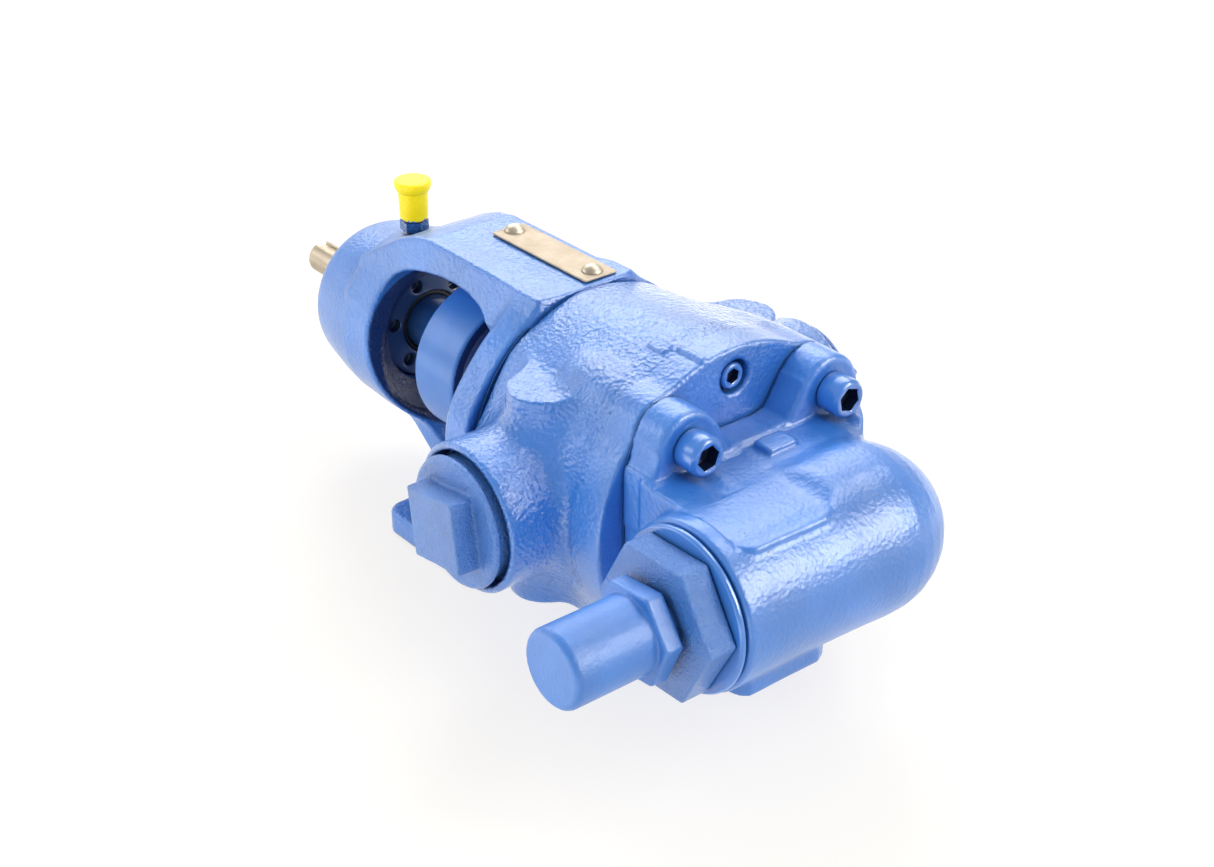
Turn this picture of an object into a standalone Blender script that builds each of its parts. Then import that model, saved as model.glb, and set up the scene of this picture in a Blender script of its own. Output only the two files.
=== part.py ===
"""Foot-mounted internal gear pump with a relief valve across its head.

The pump axis runs along Y: the drive shaft leaves towards +Y, the head and the
relief valve face -Y.  The two ports open along -X and +X, +Z is up.  The row
origin is the middle of the foot's underside.  Dimensions below are millimetres
measured from the head's front face (y = 0) and the shaft axis (x = z = 0);
place() turns them into world metres.
"""
import math

import bmesh
import bpy
from mathutils import Vector

# ------------------------------------------------------------------ constants
MM = 0.001
FOOT_Y = 119.5            # middle of the foot along the pump axis
SHAFT_H = 63.0            # shaft centre above the foot's underside
GAP = 0.3                 # clearance kept between touching pieces

HEAD_R = 59.0             # head and casing front rim
HEAD_T = 12.0
CASING_Y0, CASING_Y1 = 13.0, 77.4
CASING_R1 = 54.6
CHAMBER_R = 38.5
BRACKET_Y0 = 78.5

PORT_Y = 46.7             # port axis along the pump axis
PORT_X = 79.5             # port boss face
PORT_R = 27.0
PLUG_R = 22.7
PLUG_SQ = 26.0

EAR_X, EAR_Z, EAR_R = 32.15, 38.06, 12.8
VALVE_Y, VALVE_Z = -45.3, 3.6
VALVE_R = 29.5

ROTOR_TEETH, IDLER_TEETH, MODULE = 12, 9, 5.0
ROTOR_PITCH_R = MODULE * ROTOR_TEETH / 2      # 30
IDLER_PITCH_R = MODULE * IDLER_TEETH / 2      # 22.5
ECC = ROTOR_PITCH_R - IDLER_PITCH_R           # 7.5, idler axis above the shaft
IDLER_TIP_R, IDLER_ROOT_R = 26.2, 17.2
ROTOR_TIP_R, FINGER_R, ROTOR_R = 26.4, 37.5, 38.0
TEETH_Y0, TEETH_Y1 = 13.4, 52.0

SHAFT_END = 268.0
SHAFT_R = 7.0
HUB_END = 222.3

# ---------------------------------------------------------------- empty scene
for ob in list(bpy.data.objects):
    bpy.data.objects.remove(ob, do_unlink=True)

PARTS = bpy.data.collections.new("gear_pump")
CUTTERS = bpy.data.collections.new("cutters")
bpy.context.scene.collection.children.link(PARTS)
bpy.context.scene.collection.children.link(CUTTERS)

# local +Z of a piece turned towards each world direction
TURN = {
    "+z": (0, 0, 0), "-z": (math.pi, 0, 0),
    "+y": (-math.pi / 2, 0, 0), "-y": (math.pi / 2, 0, 0),
    "+x": (0, math.pi / 2, 0), "-x": (0, -math.pi / 2, 0),
}


def place(x, y, z):
    return Vector((x * MM, (y - FOOT_Y) * MM, (z + SHAFT_H) * MM))


def material(name, rgb, rough, metal):
    m = bpy.data.materials.new(name)
    m.use_nodes = True
    b = m.node_tree.nodes["Principled BSDF"]
    b.inputs["Base Color"].default_value = (*rgb, 1)
    b.inputs["Roughness"].default_value = rough
    b.inputs["Metallic"].default_value = metal
    m.diffuse_color = (*rgb, 1)
    return m


PAINT = material("blue_paint", (0.06, 0.19, 0.66), 0.3, 0.0)
STEEL = material("bare_steel", (0.55, 0.54, 0.52), 0.35, 1.0)
IRON = material("machined_iron", (0.32, 0.32, 0.33), 0.5, 1.0)
BRONZE = material("bronze", (0.66, 0.45, 0.2), 0.4, 1.0)
CARBON = material("seal_carbon", (0.05, 0.05, 0.055), 0.5, 0.0)
RUBBER = material("seal_rubber", (0.02, 0.02, 0.022), 0.6, 0.0)
GASKET = material("gasket_sheet", (0.05, 0.06, 0.08), 0.8, 0.0)
YELLOW = material("yellow_plastic", (0.9, 0.78, 0.01), 0.4, 0.0)
PLATE = material("nameplate_metal", (0.55, 0.49, 0.4), 0.45, 1.0)


def register(name, mesh, at, axis, mat, cutter=False):
    ob = bpy.data.objects.new(name, mesh)
    (CUTTERS if cutter else PARTS).objects.link(ob)
    ob.location = place(*at)
    ob.rotation_euler = TURN[axis]
    if mat is not None:
        mesh.materials.append(mat)
    if cutter:
        ob.hide_render = True
        ob.display_type = "WIRE"
    return ob


def finish(bm, name):
    mesh = bpy.data.meshes.new(name)
    bm.to_mesh(mesh)
    bm.free()
    mesh.shade_smooth()
    mesh.set_sharp_from_angle(angle=math.radians(32))
    return mesh


def cylinder(name, r, y0, y1, at=(0, 0), axis="+y", mat=PAINT, cutter=False,
             sides=20, r2=None):
    """A cylinder or cone between two stations on an axis.  at holds the two
    other coordinates in x, y, z order."""
    bm = bmesh.new()
    bmesh.ops.create_cone(bm, cap_ends=True, segments=sides, radius1=r * MM,
                          radius2=(r if r2 is None else r2) * MM,
                          depth=abs(y1 - y0) * MM)
    bmesh.ops.translate(bm, verts=bm.verts, vec=(0, 0, abs(y1 - y0) * MM / 2))
    base = on_axis(axis, y0, at)
    return register(name, finish(bm, name), base, axis, mat, cutter)


def on_axis(axis, station, at):
    a, b = at
    if axis[1] == "y":
        return (a, station, b)
    if axis[1] == "x":
        return (station, a, b)
    return (a, b, station)


def turned(name, profile, at=(0, 0), axis="+y", mat=PAINT, cutter=False,
           steps=24, origin=0.0):
    """Turn a (radius, station) profile about an axis.  The profile runs from
    the far end down its outer side; a first point repeated at the end closes a
    ring.  Stations are signed along the world axis; origin is the station
    where the object's origin sits."""
    sign = 1 if axis[0] == "+" else -1
    pts = [(r * MM, (s - origin) * sign * MM) for r, s in profile]
    closed = profile[0] == profile[-1]
    if closed:
        pts = pts[:-1]
    bm = bmesh.new()
    vs = [bm.verts.new((r, 0, h)) for r, h in pts]
    for a, b in zip(vs, vs[1:]):
        bm.edges.new((a, b))
    if closed:
        bm.edges.new((vs[-1], vs[0]))
    mesh = bpy.data.meshes.new(name)
    bm.to_mesh(mesh)
    bm.free()
    ob = register(name, mesh, on_axis(axis, origin, at), axis, mat, cutter)
    mod = ob.modifiers.new("turn", "SCREW")
    mod.axis = "Z"
    mod.angle = 2 * math.pi
    mod.steps = steps
    mod.render_steps = steps
    mod.use_merge_vertices = True
    mod.merge_threshold = 0.00001
    mod.use_smooth_shade = False
    return ob


def ring(name, r0, r1, y0, y1, at=(0, 0), axis="+y", mat=PAINT, cutter=False,
         steps=24, origin=0.0):
    """A plain ring between two stations, low station first on a + axis."""
    return turned(name, [(r0, y1), (r1, y1), (r1, y0), (r0, y0), (r0, y1)],
                  at, axis, mat, cutter, steps, origin)


def box(name, lo, hi, mat=PAINT, cutter=False, bevel=0.0, segments=2):
    bm = bmesh.new()
    bmesh.ops.create_cube(bm, size=1.0)
    size = [(h - l) * MM for l, h in zip(lo, hi)]
    bmesh.ops.scale(bm, verts=bm.verts, vec=size)
    mid = [(l + h) / 2 for l, h in zip(lo, hi)]
    ob = register(name, finish(bm, name), mid, "+z", mat, cutter)
    if bevel:
        mod = ob.modifiers.new("round", "BEVEL")
        mod.width = bevel * MM
        mod.segments = segments
    return ob


def plate(name, loops, s0, s1, axis="+y", mat=PAINT, cutter=False, origin=(0, 0)):
    """A flat outline, given as closed loops of (a, b) points in the two other
    world coordinates, extruded between stations s0 and s1 on the axis."""
    cu = bpy.data.curves.new(name + "_outline", "CURVE")
    cu.dimensions = "2D"
    cu.fill_mode = "BOTH"
    cu.extrude = abs(s1 - s0) * MM / 2
    oa, obb = origin
    for loop in loops:
        sp = cu.splines.new("POLY")
        sp.points.add(len(loop) - 1)
        for p, (a, b) in zip(sp.points, loop):
            a, b = (a - oa) * MM, (b - obb) * MM
            # local axes that each turn maps onto the world coordinates
            if axis == "+y":
                p.co = (a, -b, 0, 1)
            elif axis == "+x":
                p.co = (-b, a, 0, 1)
            else:
                p.co = (a, b, 0, 1)
        sp.use_cyclic_u = True
    tmp = bpy.data.objects.new(name + "_curve", cu)
    CUTTERS.objects.link(tmp)
    deps = bpy.context.evaluated_depsgraph_get()
    mesh = bpy.data.meshes.new_from_object(tmp.evaluated_get(deps))
    bpy.data.objects.remove(tmp, do_unlink=True)
    bm = bmesh.new()
    bm.from_mesh(mesh)
    bmesh.ops.remove_doubles(bm, verts=bm.verts, dist=0.000002)
    bmesh.ops.recalc_face_normals(bm, faces=bm.faces)
    bm.to_mesh(mesh)
    bm.free()
    mesh.name = name
    mesh.materials.clear()
    mid = (s0 + s1) / 2
    return register(name, mesh, on_axis(axis, mid, origin), axis, mat, cutter)


def cut(ob, *tools):
    for t in tools:
        mod = ob.modifiers.new("cut_" + t.name, "BOOLEAN")
        mod.operation = "DIFFERENCE"
        mod.solver = "EXACT"
        mod.object = t
    return ob


def join(ob, *tools):
    for t in tools:
        mod = ob.modifiers.new("join_" + t.name, "BOOLEAN")
        mod.operation = "UNION"
        mod.solver = "EXACT"
        mod.object = t
    return ob


def arc(cx, cy, r, a0, a1, n):
    return [(cx + r * math.cos(math.radians(a0 + (a1 - a0) * i / n)),
             cy + r * math.sin(math.radians(a0 + (a1 - a0) * i / n)))
            for i in range(n + 1)]


def rounded_rect(x0, y0, x1, y1, r, n=5):
    return (arc(x1 - r, y0 + r, r, -90, 0, n) + arc(x1 - r, y1 - r, r, 0, 90, n)
            + arc(x0 + r, y1 - r, r, 90, 180, n)
            + arc(x0 + r, y0 + r, r, 180, 270, n))


def C(*args, **kw):
    """A cylinder used as a cutter or as a joining piece."""
    return cylinder(*args, cutter=True, mat=None, **kw)


# =================================================================== bracket
bracket = turned("bracket", [
    (0, HUB_END), (28.8, HUB_END), (31.0, 220.6), (34.0, 209),
    (37.0, 192), (38.2, 176), (37.6, 160), (37.6, 126), (41.5, 107),
    (51.5, 92.5), (55.0, 87.0), (55.0, BRACKET_Y0),
    (CHAMBER_R - GAP, BRACKET_Y0), (CHAMBER_R - GAP, 63.6), (0, 63.6)],
    steps=26)
# top bridge that carries the nameplate, sloping down onto the hub
bridge = plate("bridge_tool", [[(BRACKET_Y0 + 0.4, 24), (BRACKET_Y0 + 0.4, 54.3),
                                (149, 54.3), (158, 52.4), (168, 48.4), (180, 41.4),
                                (192, 34), (192, 24)]],
               -23, 20.4, axis="+x", mat=None, cutter=True)
# bottom web between the flange, the foot and the hub
web = plate("web_tool", [[(BRACKET_Y0 + 0.4, -25), (192, -25), (189, -29.5),
                          (178, -37), (164, -47), (150, -57), (92, -57),
                          (BRACKET_Y0 + 0.4, -50)]],
            -17, 17, axis="+x", mat=None, cutter=True)
foot = plate("foot_tool", [rounded_rect(-50.4, 92, 50.4, 146.2, 7, 3)],
             -SHAFT_H, -SHAFT_H + 10, axis="+z", mat=None, cutter=True)
join(bracket, bridge, web, foot)


def smooth_loop(knots, per=1):
    """A closed Catmull-Rom curve through the knots, per points each."""
    n = len(knots)
    out = []
    for i in range(n):
        p = [Vector(knots[(i + k - 1) % n]) for k in range(4)]
        for j in range(per):
            t = j / per
            out.append(tuple(0.5 * (2 * p[1] + (p[2] - p[0]) * t
                                    + (2 * p[0] - 5 * p[1] + 4 * p[2] - p[3]) * t * t
                                    + (3 * p[1] - p[0] - 3 * p[2] + p[3]) * t ** 3)))
    return out


def window_loop():
    """Egg-shaped side window as (y, z), flatter on top, under the bridge."""
    return smooth_loop([(174.5, 17), (171.5, 29), (162, 37), (146, 41.5), (128, 43),
                        (113, 40), (102, 30), (95, 15), (93, 0), (96, -16),
                        (106, -30), (122, -37.5), (142, -38.5), (158, -34.5),
                        (167, -25), (171.5, -10), (174, 4)])


window = plate("window_cut", [window_loop()], -70, 70, axis="+x", mat=None,
               cutter=True)
# bores: bushing, hub bore in steps, with the inside of the lantern
hub_bore = turned("hub_bore_cut", [
    (0, 230), (24.3, 230), (24.3, 201.2), (20.3, 201.2), (20.3, 187.6),
    (24.3, 187.6), (24.3, 178), (34.0, 170), (34.0, 98.8), (13.1, 98.8),
    (13.1, 60), (0, 60)], mat=None, cutter=True, steps=20)
bridge_mill = box("bridge_mill_cut", (-40, 70, 54.0), (40, 160, 70), mat=None,
                  cutter=True)
cut(bracket, window, hub_bore, bridge_mill)
grease_hole = C("grease_hole_cut", 3.4, 18, 60, at=(0, 192), axis="+z", sides=12)
cut(bracket, grease_hole)
for i, (fx, fy) in enumerate([(-39, 103), (39, 103), (-39, 135), (39, 135)]):
    cut(bracket, C("foot_hole_cut_%d" % i, 5.2, -70, -40, at=(fx, fy), axis="+z",
                   sides=12))
PLATE_PINS = [(7.0, 132.9), (6.8, 85.2)]
for i, (px, py) in enumerate(PLATE_PINS):
    cut(bracket, C("plate_pin_cut_%d" % i, 1.6, 45, 60, at=(px, py), axis="+z",
                   sides=8))
BACK_SCREWS = [(46.3 * math.cos(math.radians(a)), 46.3 * math.sin(math.radians(a)))
               for a in (45, 135, 225, 315)]
for i, (bx, bz) in enumerate(BACK_SCREWS):
    cut(bracket, C("back_hole_cut_%d" % i, 3.4, 70, 110, at=(bx, bz), sides=8),
        C("back_face_cut_%d" % i, 6.4, 86.0, 112, at=(bx, bz), sides=10))
SEAL_SCREWS = [(21.8 * math.cos(math.radians(a)), 21.8 * math.sin(math.radians(a)))
               for a in (90, 210, 330)]
for i, (sx, sz) in enumerate(SEAL_SCREWS):
    cut(bracket, C("seal_tap_cut_%d" % i, 2.8, 84, 110, at=(sx, sz), sides=8))

# ==================================================================== casing
casing = turned("casing", [
    (0, CASING_Y1), (CASING_R1, CASING_Y1), (57.0, 50),
    (HEAD_R, 24), (HEAD_R, CASING_Y0), (0, CASING_Y0)], steps=32)
for sx in (-1, 1):
    s = "left" if sx < 0 else "right"
    ax = "-x" if sx < 0 else "+x"
    join(casing, C("port_boss_" + s, PORT_R, sx * 40, sx * PORT_X, at=(PORT_Y, 0),
                   axis=ax, sides=24))
    # undrilled gauge boss across the neck, flat above and below
    join(casing, C("gauge_boss_" + s, 12.8, -40.5, 40.5, at=(sx * 46, PORT_Y),
                   axis="+z", sides=14))
for i, (sx, sz) in enumerate([(-1, 1), (1, 1), (-1, -1), (1, -1)]):
    join(casing, C("casing_lobe_%d" % i, EAR_R, CASING_Y0, 40,
                   at=(sx * EAR_X, sz * EAR_Z), sides=12, r2=8.5))
chamber = C("chamber_cut", CHAMBER_R, 5, 90, sides=32)
cut(casing, chamber)
for sx in (-1, 1):
    s = "left" if sx < 0 else "right"
    ax = "-x" if sx < 0 else "+x"
    port = turned("port_cut_" + s, [
        (0, sx * (PORT_X + 5)), (25.0, sx * (PORT_X + 5)), (24.6, sx * PORT_X),
        (23.1, sx * (PORT_X - 2.5)), (23.1, sx * 61), (18.5, sx * 60),
        (18.5, sx * 20), (0, sx * 20)],
        at=(PORT_Y, 0), axis=ax, mat=None, cutter=True, steps=24)
    cut(casing, port)
EARS = [(-EAR_X, EAR_Z), (EAR_X, EAR_Z), (-EAR_X, -EAR_Z), (EAR_X, -EAR_Z)]
for i, (ex, ez) in enumerate(EARS):
    cut(casing, C("ear_tap_cut_%d" % i, 5.0, 8, 33, at=(ex, ez), sides=8))
HEAD_SCREWS = [(0, 47.8), (0, -47.8)]
for i, (hx, hz) in enumerate(HEAD_SCREWS):
    cut(casing, C("head_tap_cut_%d" % i, 3.2, 8, 29, at=(hx, hz), sides=10))
for i, (bx, bz) in enumerate(BACK_SCREWS):
    cut(casing, C("back_tap_cut_%d" % i, 3.3, 64, 90, at=(bx, bz), sides=8))
# raised casting pad on the crown
mark_a = box("crown_pad", (-18.5, 15.5, 50), (-13.5, 24.5, 57.2), mat=None,
             cutter=True)
join(casing, mark_a)

# ====================================================================== head


def ear_outline(r, wide=0.0):
    """Round disc outline with four ear lobes, as one loop of points."""
    out = []
    for i in range(56):
        a = 2 * math.pi * i / 56
        best = HEAD_R
        for ex, ez in EARS:
            ea = math.atan2(ez, ex)
            dist = math.hypot(ex, ez)
            da = (a - ea + math.pi) % (2 * math.pi) - math.pi
            h = dist * math.sin(da)
            if abs(h) < r and abs(da) < 0.5:
                best = max(best, dist * math.cos(da) + math.sqrt(r * r - h * h))
        out.append((best * math.cos(a), best * math.sin(a)))
    return out


head = plate("head", [ear_outline(EAR_R)], 0, HEAD_T, mat=PAINT)
# the crescent stands on the head between the idler and the rotor
def crescent_loop():
    outer = ROTOR_TIP_R - GAP
    inner = IDLER_TIP_R + GAP
    pts = []
    a0, a1 = 270 - 66, 270 + 66
    pts += arc(0, 0, outer, a0, a1, 9)
    # inner side follows the idler's tip circle about the idler axis
    e = pts[-1]
    b1 = math.degrees(math.atan2(e[1] - ECC, e[0]))
    b0 = math.degrees(math.atan2(pts[0][1] - ECC, pts[0][0]))
    pts += arc(0, ECC, inner, b1, b0 if b0 < b1 else b0 - 360, 9)
    return pts


crescent = plate("crescent_tool", [crescent_loop()], HEAD_T - 1, TEETH_Y1 - 0.6,
                 mat=None, cutter=True)
join(head, crescent)
for i, (ex, ez) in enumerate(EARS):
    cut(head, C("head_ear_cut_%d" % i, 5.0, -5, 20, at=(ex, ez), sides=8))
for i, (hx, hz) in enumerate(HEAD_SCREWS):
    cut(head, C("head_bore_cut_%d" % i, 3.2, -5, 20, at=(hx, hz), sides=10),
        C("head_cbore_cut_%d" % i, 6.3, -3, 7.0, at=(hx, hz), sides=10))
IDLER_PIN_R = 7.0
cut(head, C("pin_bore_cut", IDLER_PIN_R + GAP, 2.0, 20, at=(0, ECC), sides=16))
HEAD_PASSAGES = [(-23.5, 9.0), (23.5, 9.0)]
for i, (hx, hz) in enumerate(HEAD_PASSAGES):
    cut(head, C("head_passage_cut_%d" % i, 6.0, -5, 20, at=(hx, hz), sides=10))

# ================================================================== fasteners


def socket_screw(name, at, y_top, head_r, head_h, shank_r, shank_l, af, depth,
                 axis="+y", sides=12):
    """Socket-head cap screw; y_top is the head's free end, the shank runs on
    along the axis."""
    sign = 1 if axis[0] == "+" else -1
    end = y_top + sign * (head_h + shank_l)
    seat = y_top + sign * head_h
    c = head_r * 0.09
    scr = turned(name, [
        (0, end), (shank_r, end), (shank_r, seat), (head_r, seat),
        (head_r, y_top + sign * c),
        (head_r - c, y_top), (0, y_top)],
        at=at, axis=axis, mat=PAINT, steps=sides, origin=y_top)
    back = "-y" if axis == "+y" else "+y"
    hexa = cylinder(name + "_hex_cut", af / math.sqrt(3), y_top + sign * depth,
                    y_top - sign * 3, at=at, axis=back, mat=None, cutter=True,
                    sides=6)
    cut(scr, hexa)
    return scr


EAR_NAMES = ["upper_left", "upper_right", "lower_left", "lower_right"]
for n, (ex, ez) in zip(EAR_NAMES, EARS):
    socket_screw("valve_screw_" + n, (ex, ez), -23.6, 7.15, 9.3, 4.6, 44.0, 8.0,
                 5.0)
for n, (hx, hz) in zip(("top", "bottom"), HEAD_SCREWS):
    socket_screw("head_screw_" + n, (hx, hz), 0.6, 4.9, 6.0, 2.8, 21.0, 5.0, 3.4)
for i, (bx, bz) in enumerate(BACK_SCREWS):
    socket_screw("bracket_screw_%d" % (i + 1), (bx, bz), 92.3, 5.0, 6.0, 3.0, 20.5,
                 5.0, 3.2, axis="-y", sides=10)
for i, (sx, sz) in enumerate(SEAL_SCREWS):
    socket_screw("seal_housing_screw_%d" % (i + 1), (sx, sz), 147.4, 4.2, 4.6, 2.4,
                 55.5, 4.0, 2.6, axis="-y", sides=10)

# ==================================================================== gaskets
head_gasket = ring("head_gasket", CHAMBER_R + 1.2, 57.6, 12.3, 12.7, mat=GASKET,
                   steps=24)
for i, (ex, ez) in enumerate(EARS):
    cut(head_gasket, C("hg_ear_cut_%d" % i, 5.4, 10, 15, at=(ex, ez), sides=8))
for i, (hx, hz) in enumerate(HEAD_SCREWS):
    cut(head_gasket, C("hg_bore_cut_%d" % i, 3.4, 10, 15, at=(hx, hz), sides=10))
bracket_gasket = ring("bracket_gasket", CHAMBER_R + 1.2, 53.6, 77.7, 78.2,
                      mat=GASKET, steps=24)
for i, (bx, bz) in enumerate(BACK_SCREWS):
    cut(bracket_gasket, C("bg_bore_cut_%d" % i, 3.6, 70, 85, at=(bx, bz), sides=8))

# ============================================================ rotor and idler


def idler_loop():
    """Idler outline: straight-sided teeth with trimmed tips, centred on its
    own axis.  A tooth gap points straight up at rest, where a rotor finger
    stands in it."""
    pts = []
    for k in range(IDLER_TEETH):
        mid = 90 + 360 / IDLER_TEETH * (k + 0.5)
        for r, w in ((IDLER_ROOT_R, 15.2), (IDLER_ROOT_R + 2.0, 12.6),
                     (IDLER_PITCH_R, 9.4), (IDLER_TIP_R - 0.8, 6.3),
                     (IDLER_TIP_R, 5.0)):
            pts.append((r, mid - w))
        for r, w in ((IDLER_TIP_R, 5.0), (IDLER_TIP_R - 0.8, 6.3),
                     (IDLER_PITCH_R, 9.4), (IDLER_ROOT_R + 2.0, 12.6),
                     (IDLER_ROOT_R, 15.2)):
            pts.append((r, mid + w))
    return [(r * math.cos(math.radians(a)), r * math.sin(math.radians(a)))
            for r, a in pts]


def rotor_gap_half_angles(radii, clearance=0.25):
    """Half angle of the space between two rotor fingers at each radius: the
    widest that an idler tooth ever reaches, seen from the rotor as both turn."""
    loop = idler_loop()
    per_tooth = len(loop) // IDLER_TEETH
    tooth = loop[:per_tooth]
    outline = []
    for a, b in zip(tooth, tooth[1:]):
        for t in range(8):
            outline.append((a[0] + (b[0] - a[0]) * t / 8,
                            a[1] + (b[1] - a[1]) * t / 8))
    outline.append(tooth[-1])
    half = [0.0] * len(radii)
    centre = math.pi / 2 + math.pi / ROTOR_TEETH
    steps = 300
    for s in range(steps + 1):
        turn = math.radians(-100 + 170 * s / steps)
        roll = turn * ROTOR_TEETH / IDLER_TEETH
        ci, si = math.cos(roll), math.sin(roll)
        for x, y in outline:
            u = x * ci - y * si
            v = x * si + y * ci + ECC
            r = math.hypot(u, v)
            if r < radii[0] - 0.4:
                continue
            a = math.atan2(v, u) - turn - centre
            a = abs((a + math.pi) % (2 * math.pi) - math.pi)
            for j, rr in enumerate(radii):
                if abs(r - rr) < 0.7:
                    half[j] = max(half[j], a)
    return [h + clearance / rr for h, rr in zip(half, radii)]


def rotor_finger_loop():
    """One finger of the rotor, pointing straight up, as a closed outline."""
    pitch = 2 * math.pi / ROTOR_TEETH
    radii = [ROTOR_TIP_R, 28.6, 30.8, 33.2, FINGER_R]
    gaps = rotor_gap_half_angles(radii)
    # beyond the idler's reach the gap keeps its width
    last = 0.0
    halves = []
    for rr, g in zip(radii, gaps):
        if g < 0.03:
            g = last * halves[-1][0] / rr if halves else g
        last = g
        halves.append((rr, g))
    left, right = [], []
    for rr, g in halves:
        h = max(pitch / 2 - g, 0.05)
        left.append((rr * math.sin(-h), rr * math.cos(h)))
        right.append((rr * math.sin(h), rr * math.cos(h)))
    top = []
    h = max(pitch / 2 - halves[-1][1], 0.05)
    for i in range(1, 3):
        a = -h + 2 * h * i / 3
        top.append((FINGER_R * math.sin(a), FINGER_R * math.cos(a)))
    return left + top + right[::-1]


def rotate_loop(loop, ang):
    c, s = math.cos(ang), math.sin(ang)
    return [(x * c - y * s, x * s + y * c) for x, y in loop]


rotor = turned("rotor", [
    (9.4, 62.9), (ROTOR_R, 62.9), (ROTOR_R, TEETH_Y1), (9.4, TEETH_Y1),
    (9.4, 62.9)], mat=IRON, steps=28)
finger = rotor_finger_loop()
fingers = plate("rotor_fingers_tool",
                [rotate_loop(finger, 2 * math.pi * k / ROTOR_TEETH)
                 for k in range(ROTOR_TEETH)],
                TEETH_Y0 - 0.8, TEETH_Y1 + 0.5, mat=None, cutter=True)
join(rotor, fingers)
KEY_Z0, KEY_Z1 = 6.6, 11.6
cut(rotor, box("rotor_keyway_cut", (-2.3, 48, 4), (2.3, 66, KEY_Z1 + 0.3), mat=None,
               cutter=True))

idler = plate("idler_gear", [[(x, z + ECC) for x, z in idler_loop()],
                             arc(0, ECC, 10.0, 0, 345, 23)],
              TEETH_Y0, TEETH_Y1 - 0.5, mat=IRON, origin=(0, ECC))
idler_bushing = ring("idler_bushing", IDLER_PIN_R + GAP, 9.7, 13.6, 51.0,
                     at=(0, ECC), mat=CARBON, steps=16, origin=13.6)
idler_pin = turned("idler_pin", [
    (0, 50.6), (IDLER_PIN_R - 0.8, 50.6), (IDLER_PIN_R, 49.8), (IDLER_PIN_R, 2.3),
    (0, 2.3)], at=(0, ECC), mat=STEEL, steps=16)

# ====================================================================== shaft
shaft = turned("drive_shaft", [
    (0, SHAFT_END), (SHAFT_R - 0.9, SHAFT_END), (SHAFT_R, SHAFT_END - 0.9),
    (SHAFT_R, 224), (7.9, 223), (7.9, 209), (8.2, 208.6), (8.2, 187.9),
    (9.4, 187.5), (9.4, 64.0), (9.0, 63.6), (9.0, 53.0), (0, 53.0)],
    mat=STEEL, steps=16, origin=53.0)
cut(shaft, box("key_seat_cut", (-2.3, 50, KEY_Z0 - 0.3), (2.3, 62.6, 12), mat=None,
               cutter=True),
    box("coupling_keyway_cut", (-2.4, 244, 4.6), (2.4, 275, 9), mat=None,
        cutter=True))
rotor_key = box("rotor_key", (-2.0, 53.0, KEY_Z0), (2.0, 62.2, KEY_Z1), mat=STEEL)
key_axis = bpy.data.objects.new("rotor_key_axis", None)
PARTS.objects.link(key_axis)
key_axis.location = place(0, 57.6, 0)
rotor_key.parent = key_axis
rotor_key.location = rotor_key.location - key_axis.location
bracket_bushing = ring("bracket_bushing", 9.75, 12.8, 64.2, 97.5, mat=BRONZE,
                       steps=16)

# ======================================================== shaft seal in housing
seal_housing = turned("seal_housing", [
    (10.4, 148.3), (31.2, 148.3), (32.0, 147.5), (32.0, 123.6), (31.2, 122.8),
    (27.4, 122.8), (27.4, 99.1), (16.4, 99.1), (16.4, 140.8), (10.4, 140.8),
    (10.4, 148.3)], steps=24)
for i, (sx, sz) in enumerate(SEAL_SCREWS):
    cut(seal_housing, C("seal_bore_cut_%d" % i, 2.8, 90, 155, at=(sx, sz), sides=10),
        C("seal_cbore_cut_%d" % i, 4.6, 142.5, 155, at=(sx, sz), sides=12))
seal_seat = ring("seal_seat", 10.2, 16.0, 99.2, 105.2, mat=CARBON, steps=16)
seal_ring = ring("seal_rotating_ring", 9.75, 15.2, 105.6, 112.4, mat=STEEL, steps=16)
seal_retainer = ring("seal_retainer", 9.75, 15.2, 132.6, 139.6, mat=STEEL, steps=16)


def coil(name, axis_at, s0, s1, r, wire, turns, axis, mat, per_turn=14,
         closed_ends=1.0):
    """Compression spring: a helix along the axis whose first and last turn
    close up."""
    cu = bpy.data.curves.new(name, "CURVE")
    cu.dimensions = "3D"
    cu.bevel_depth = wire * MM
    cu.bevel_resolution = 2
    cu.use_fill_caps = True
    n = int(turns * per_turn)
    sp = cu.splines.new("POLY")
    sp.points.add(n)
    span = s1 - s0
    dead = 2.15 * wire
    for i in range(n + 1):
        t = turns * i / n
        if t <= closed_ends:
            h = dead * t
        elif t > turns - closed_ends:
            h = abs(span) - dead * (turns - t)
        else:
            h = dead * closed_ends + (abs(span) - 2 * dead * closed_ends) * (
                t - closed_ends) / (turns - 2 * closed_ends)
        a = 2 * math.pi * t
        sp.points[i].co = (r * math.cos(a) * MM, r * math.sin(a) * MM, h * MM, 1)
    ob = bpy.data.objects.new(name, cu)
    PARTS.objects.link(ob)
    ob.location = place(*on_axis(axis, s0, axis_at))
    ob.rotation_euler = TURN[axis]
    cu.materials.append(mat)
    return ob


seal_spring = coil("seal_spring", (0, 0), 113.6, 131.4, 12.2, 0.8, 4, "+y", STEEL,
                   per_turn=8)
bearing_spacer = ring("bearing_spacer", 9.75, 11.8, 156.0, 187.4, mat=PAINT,
                      steps=16, origin=156.0)

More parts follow.
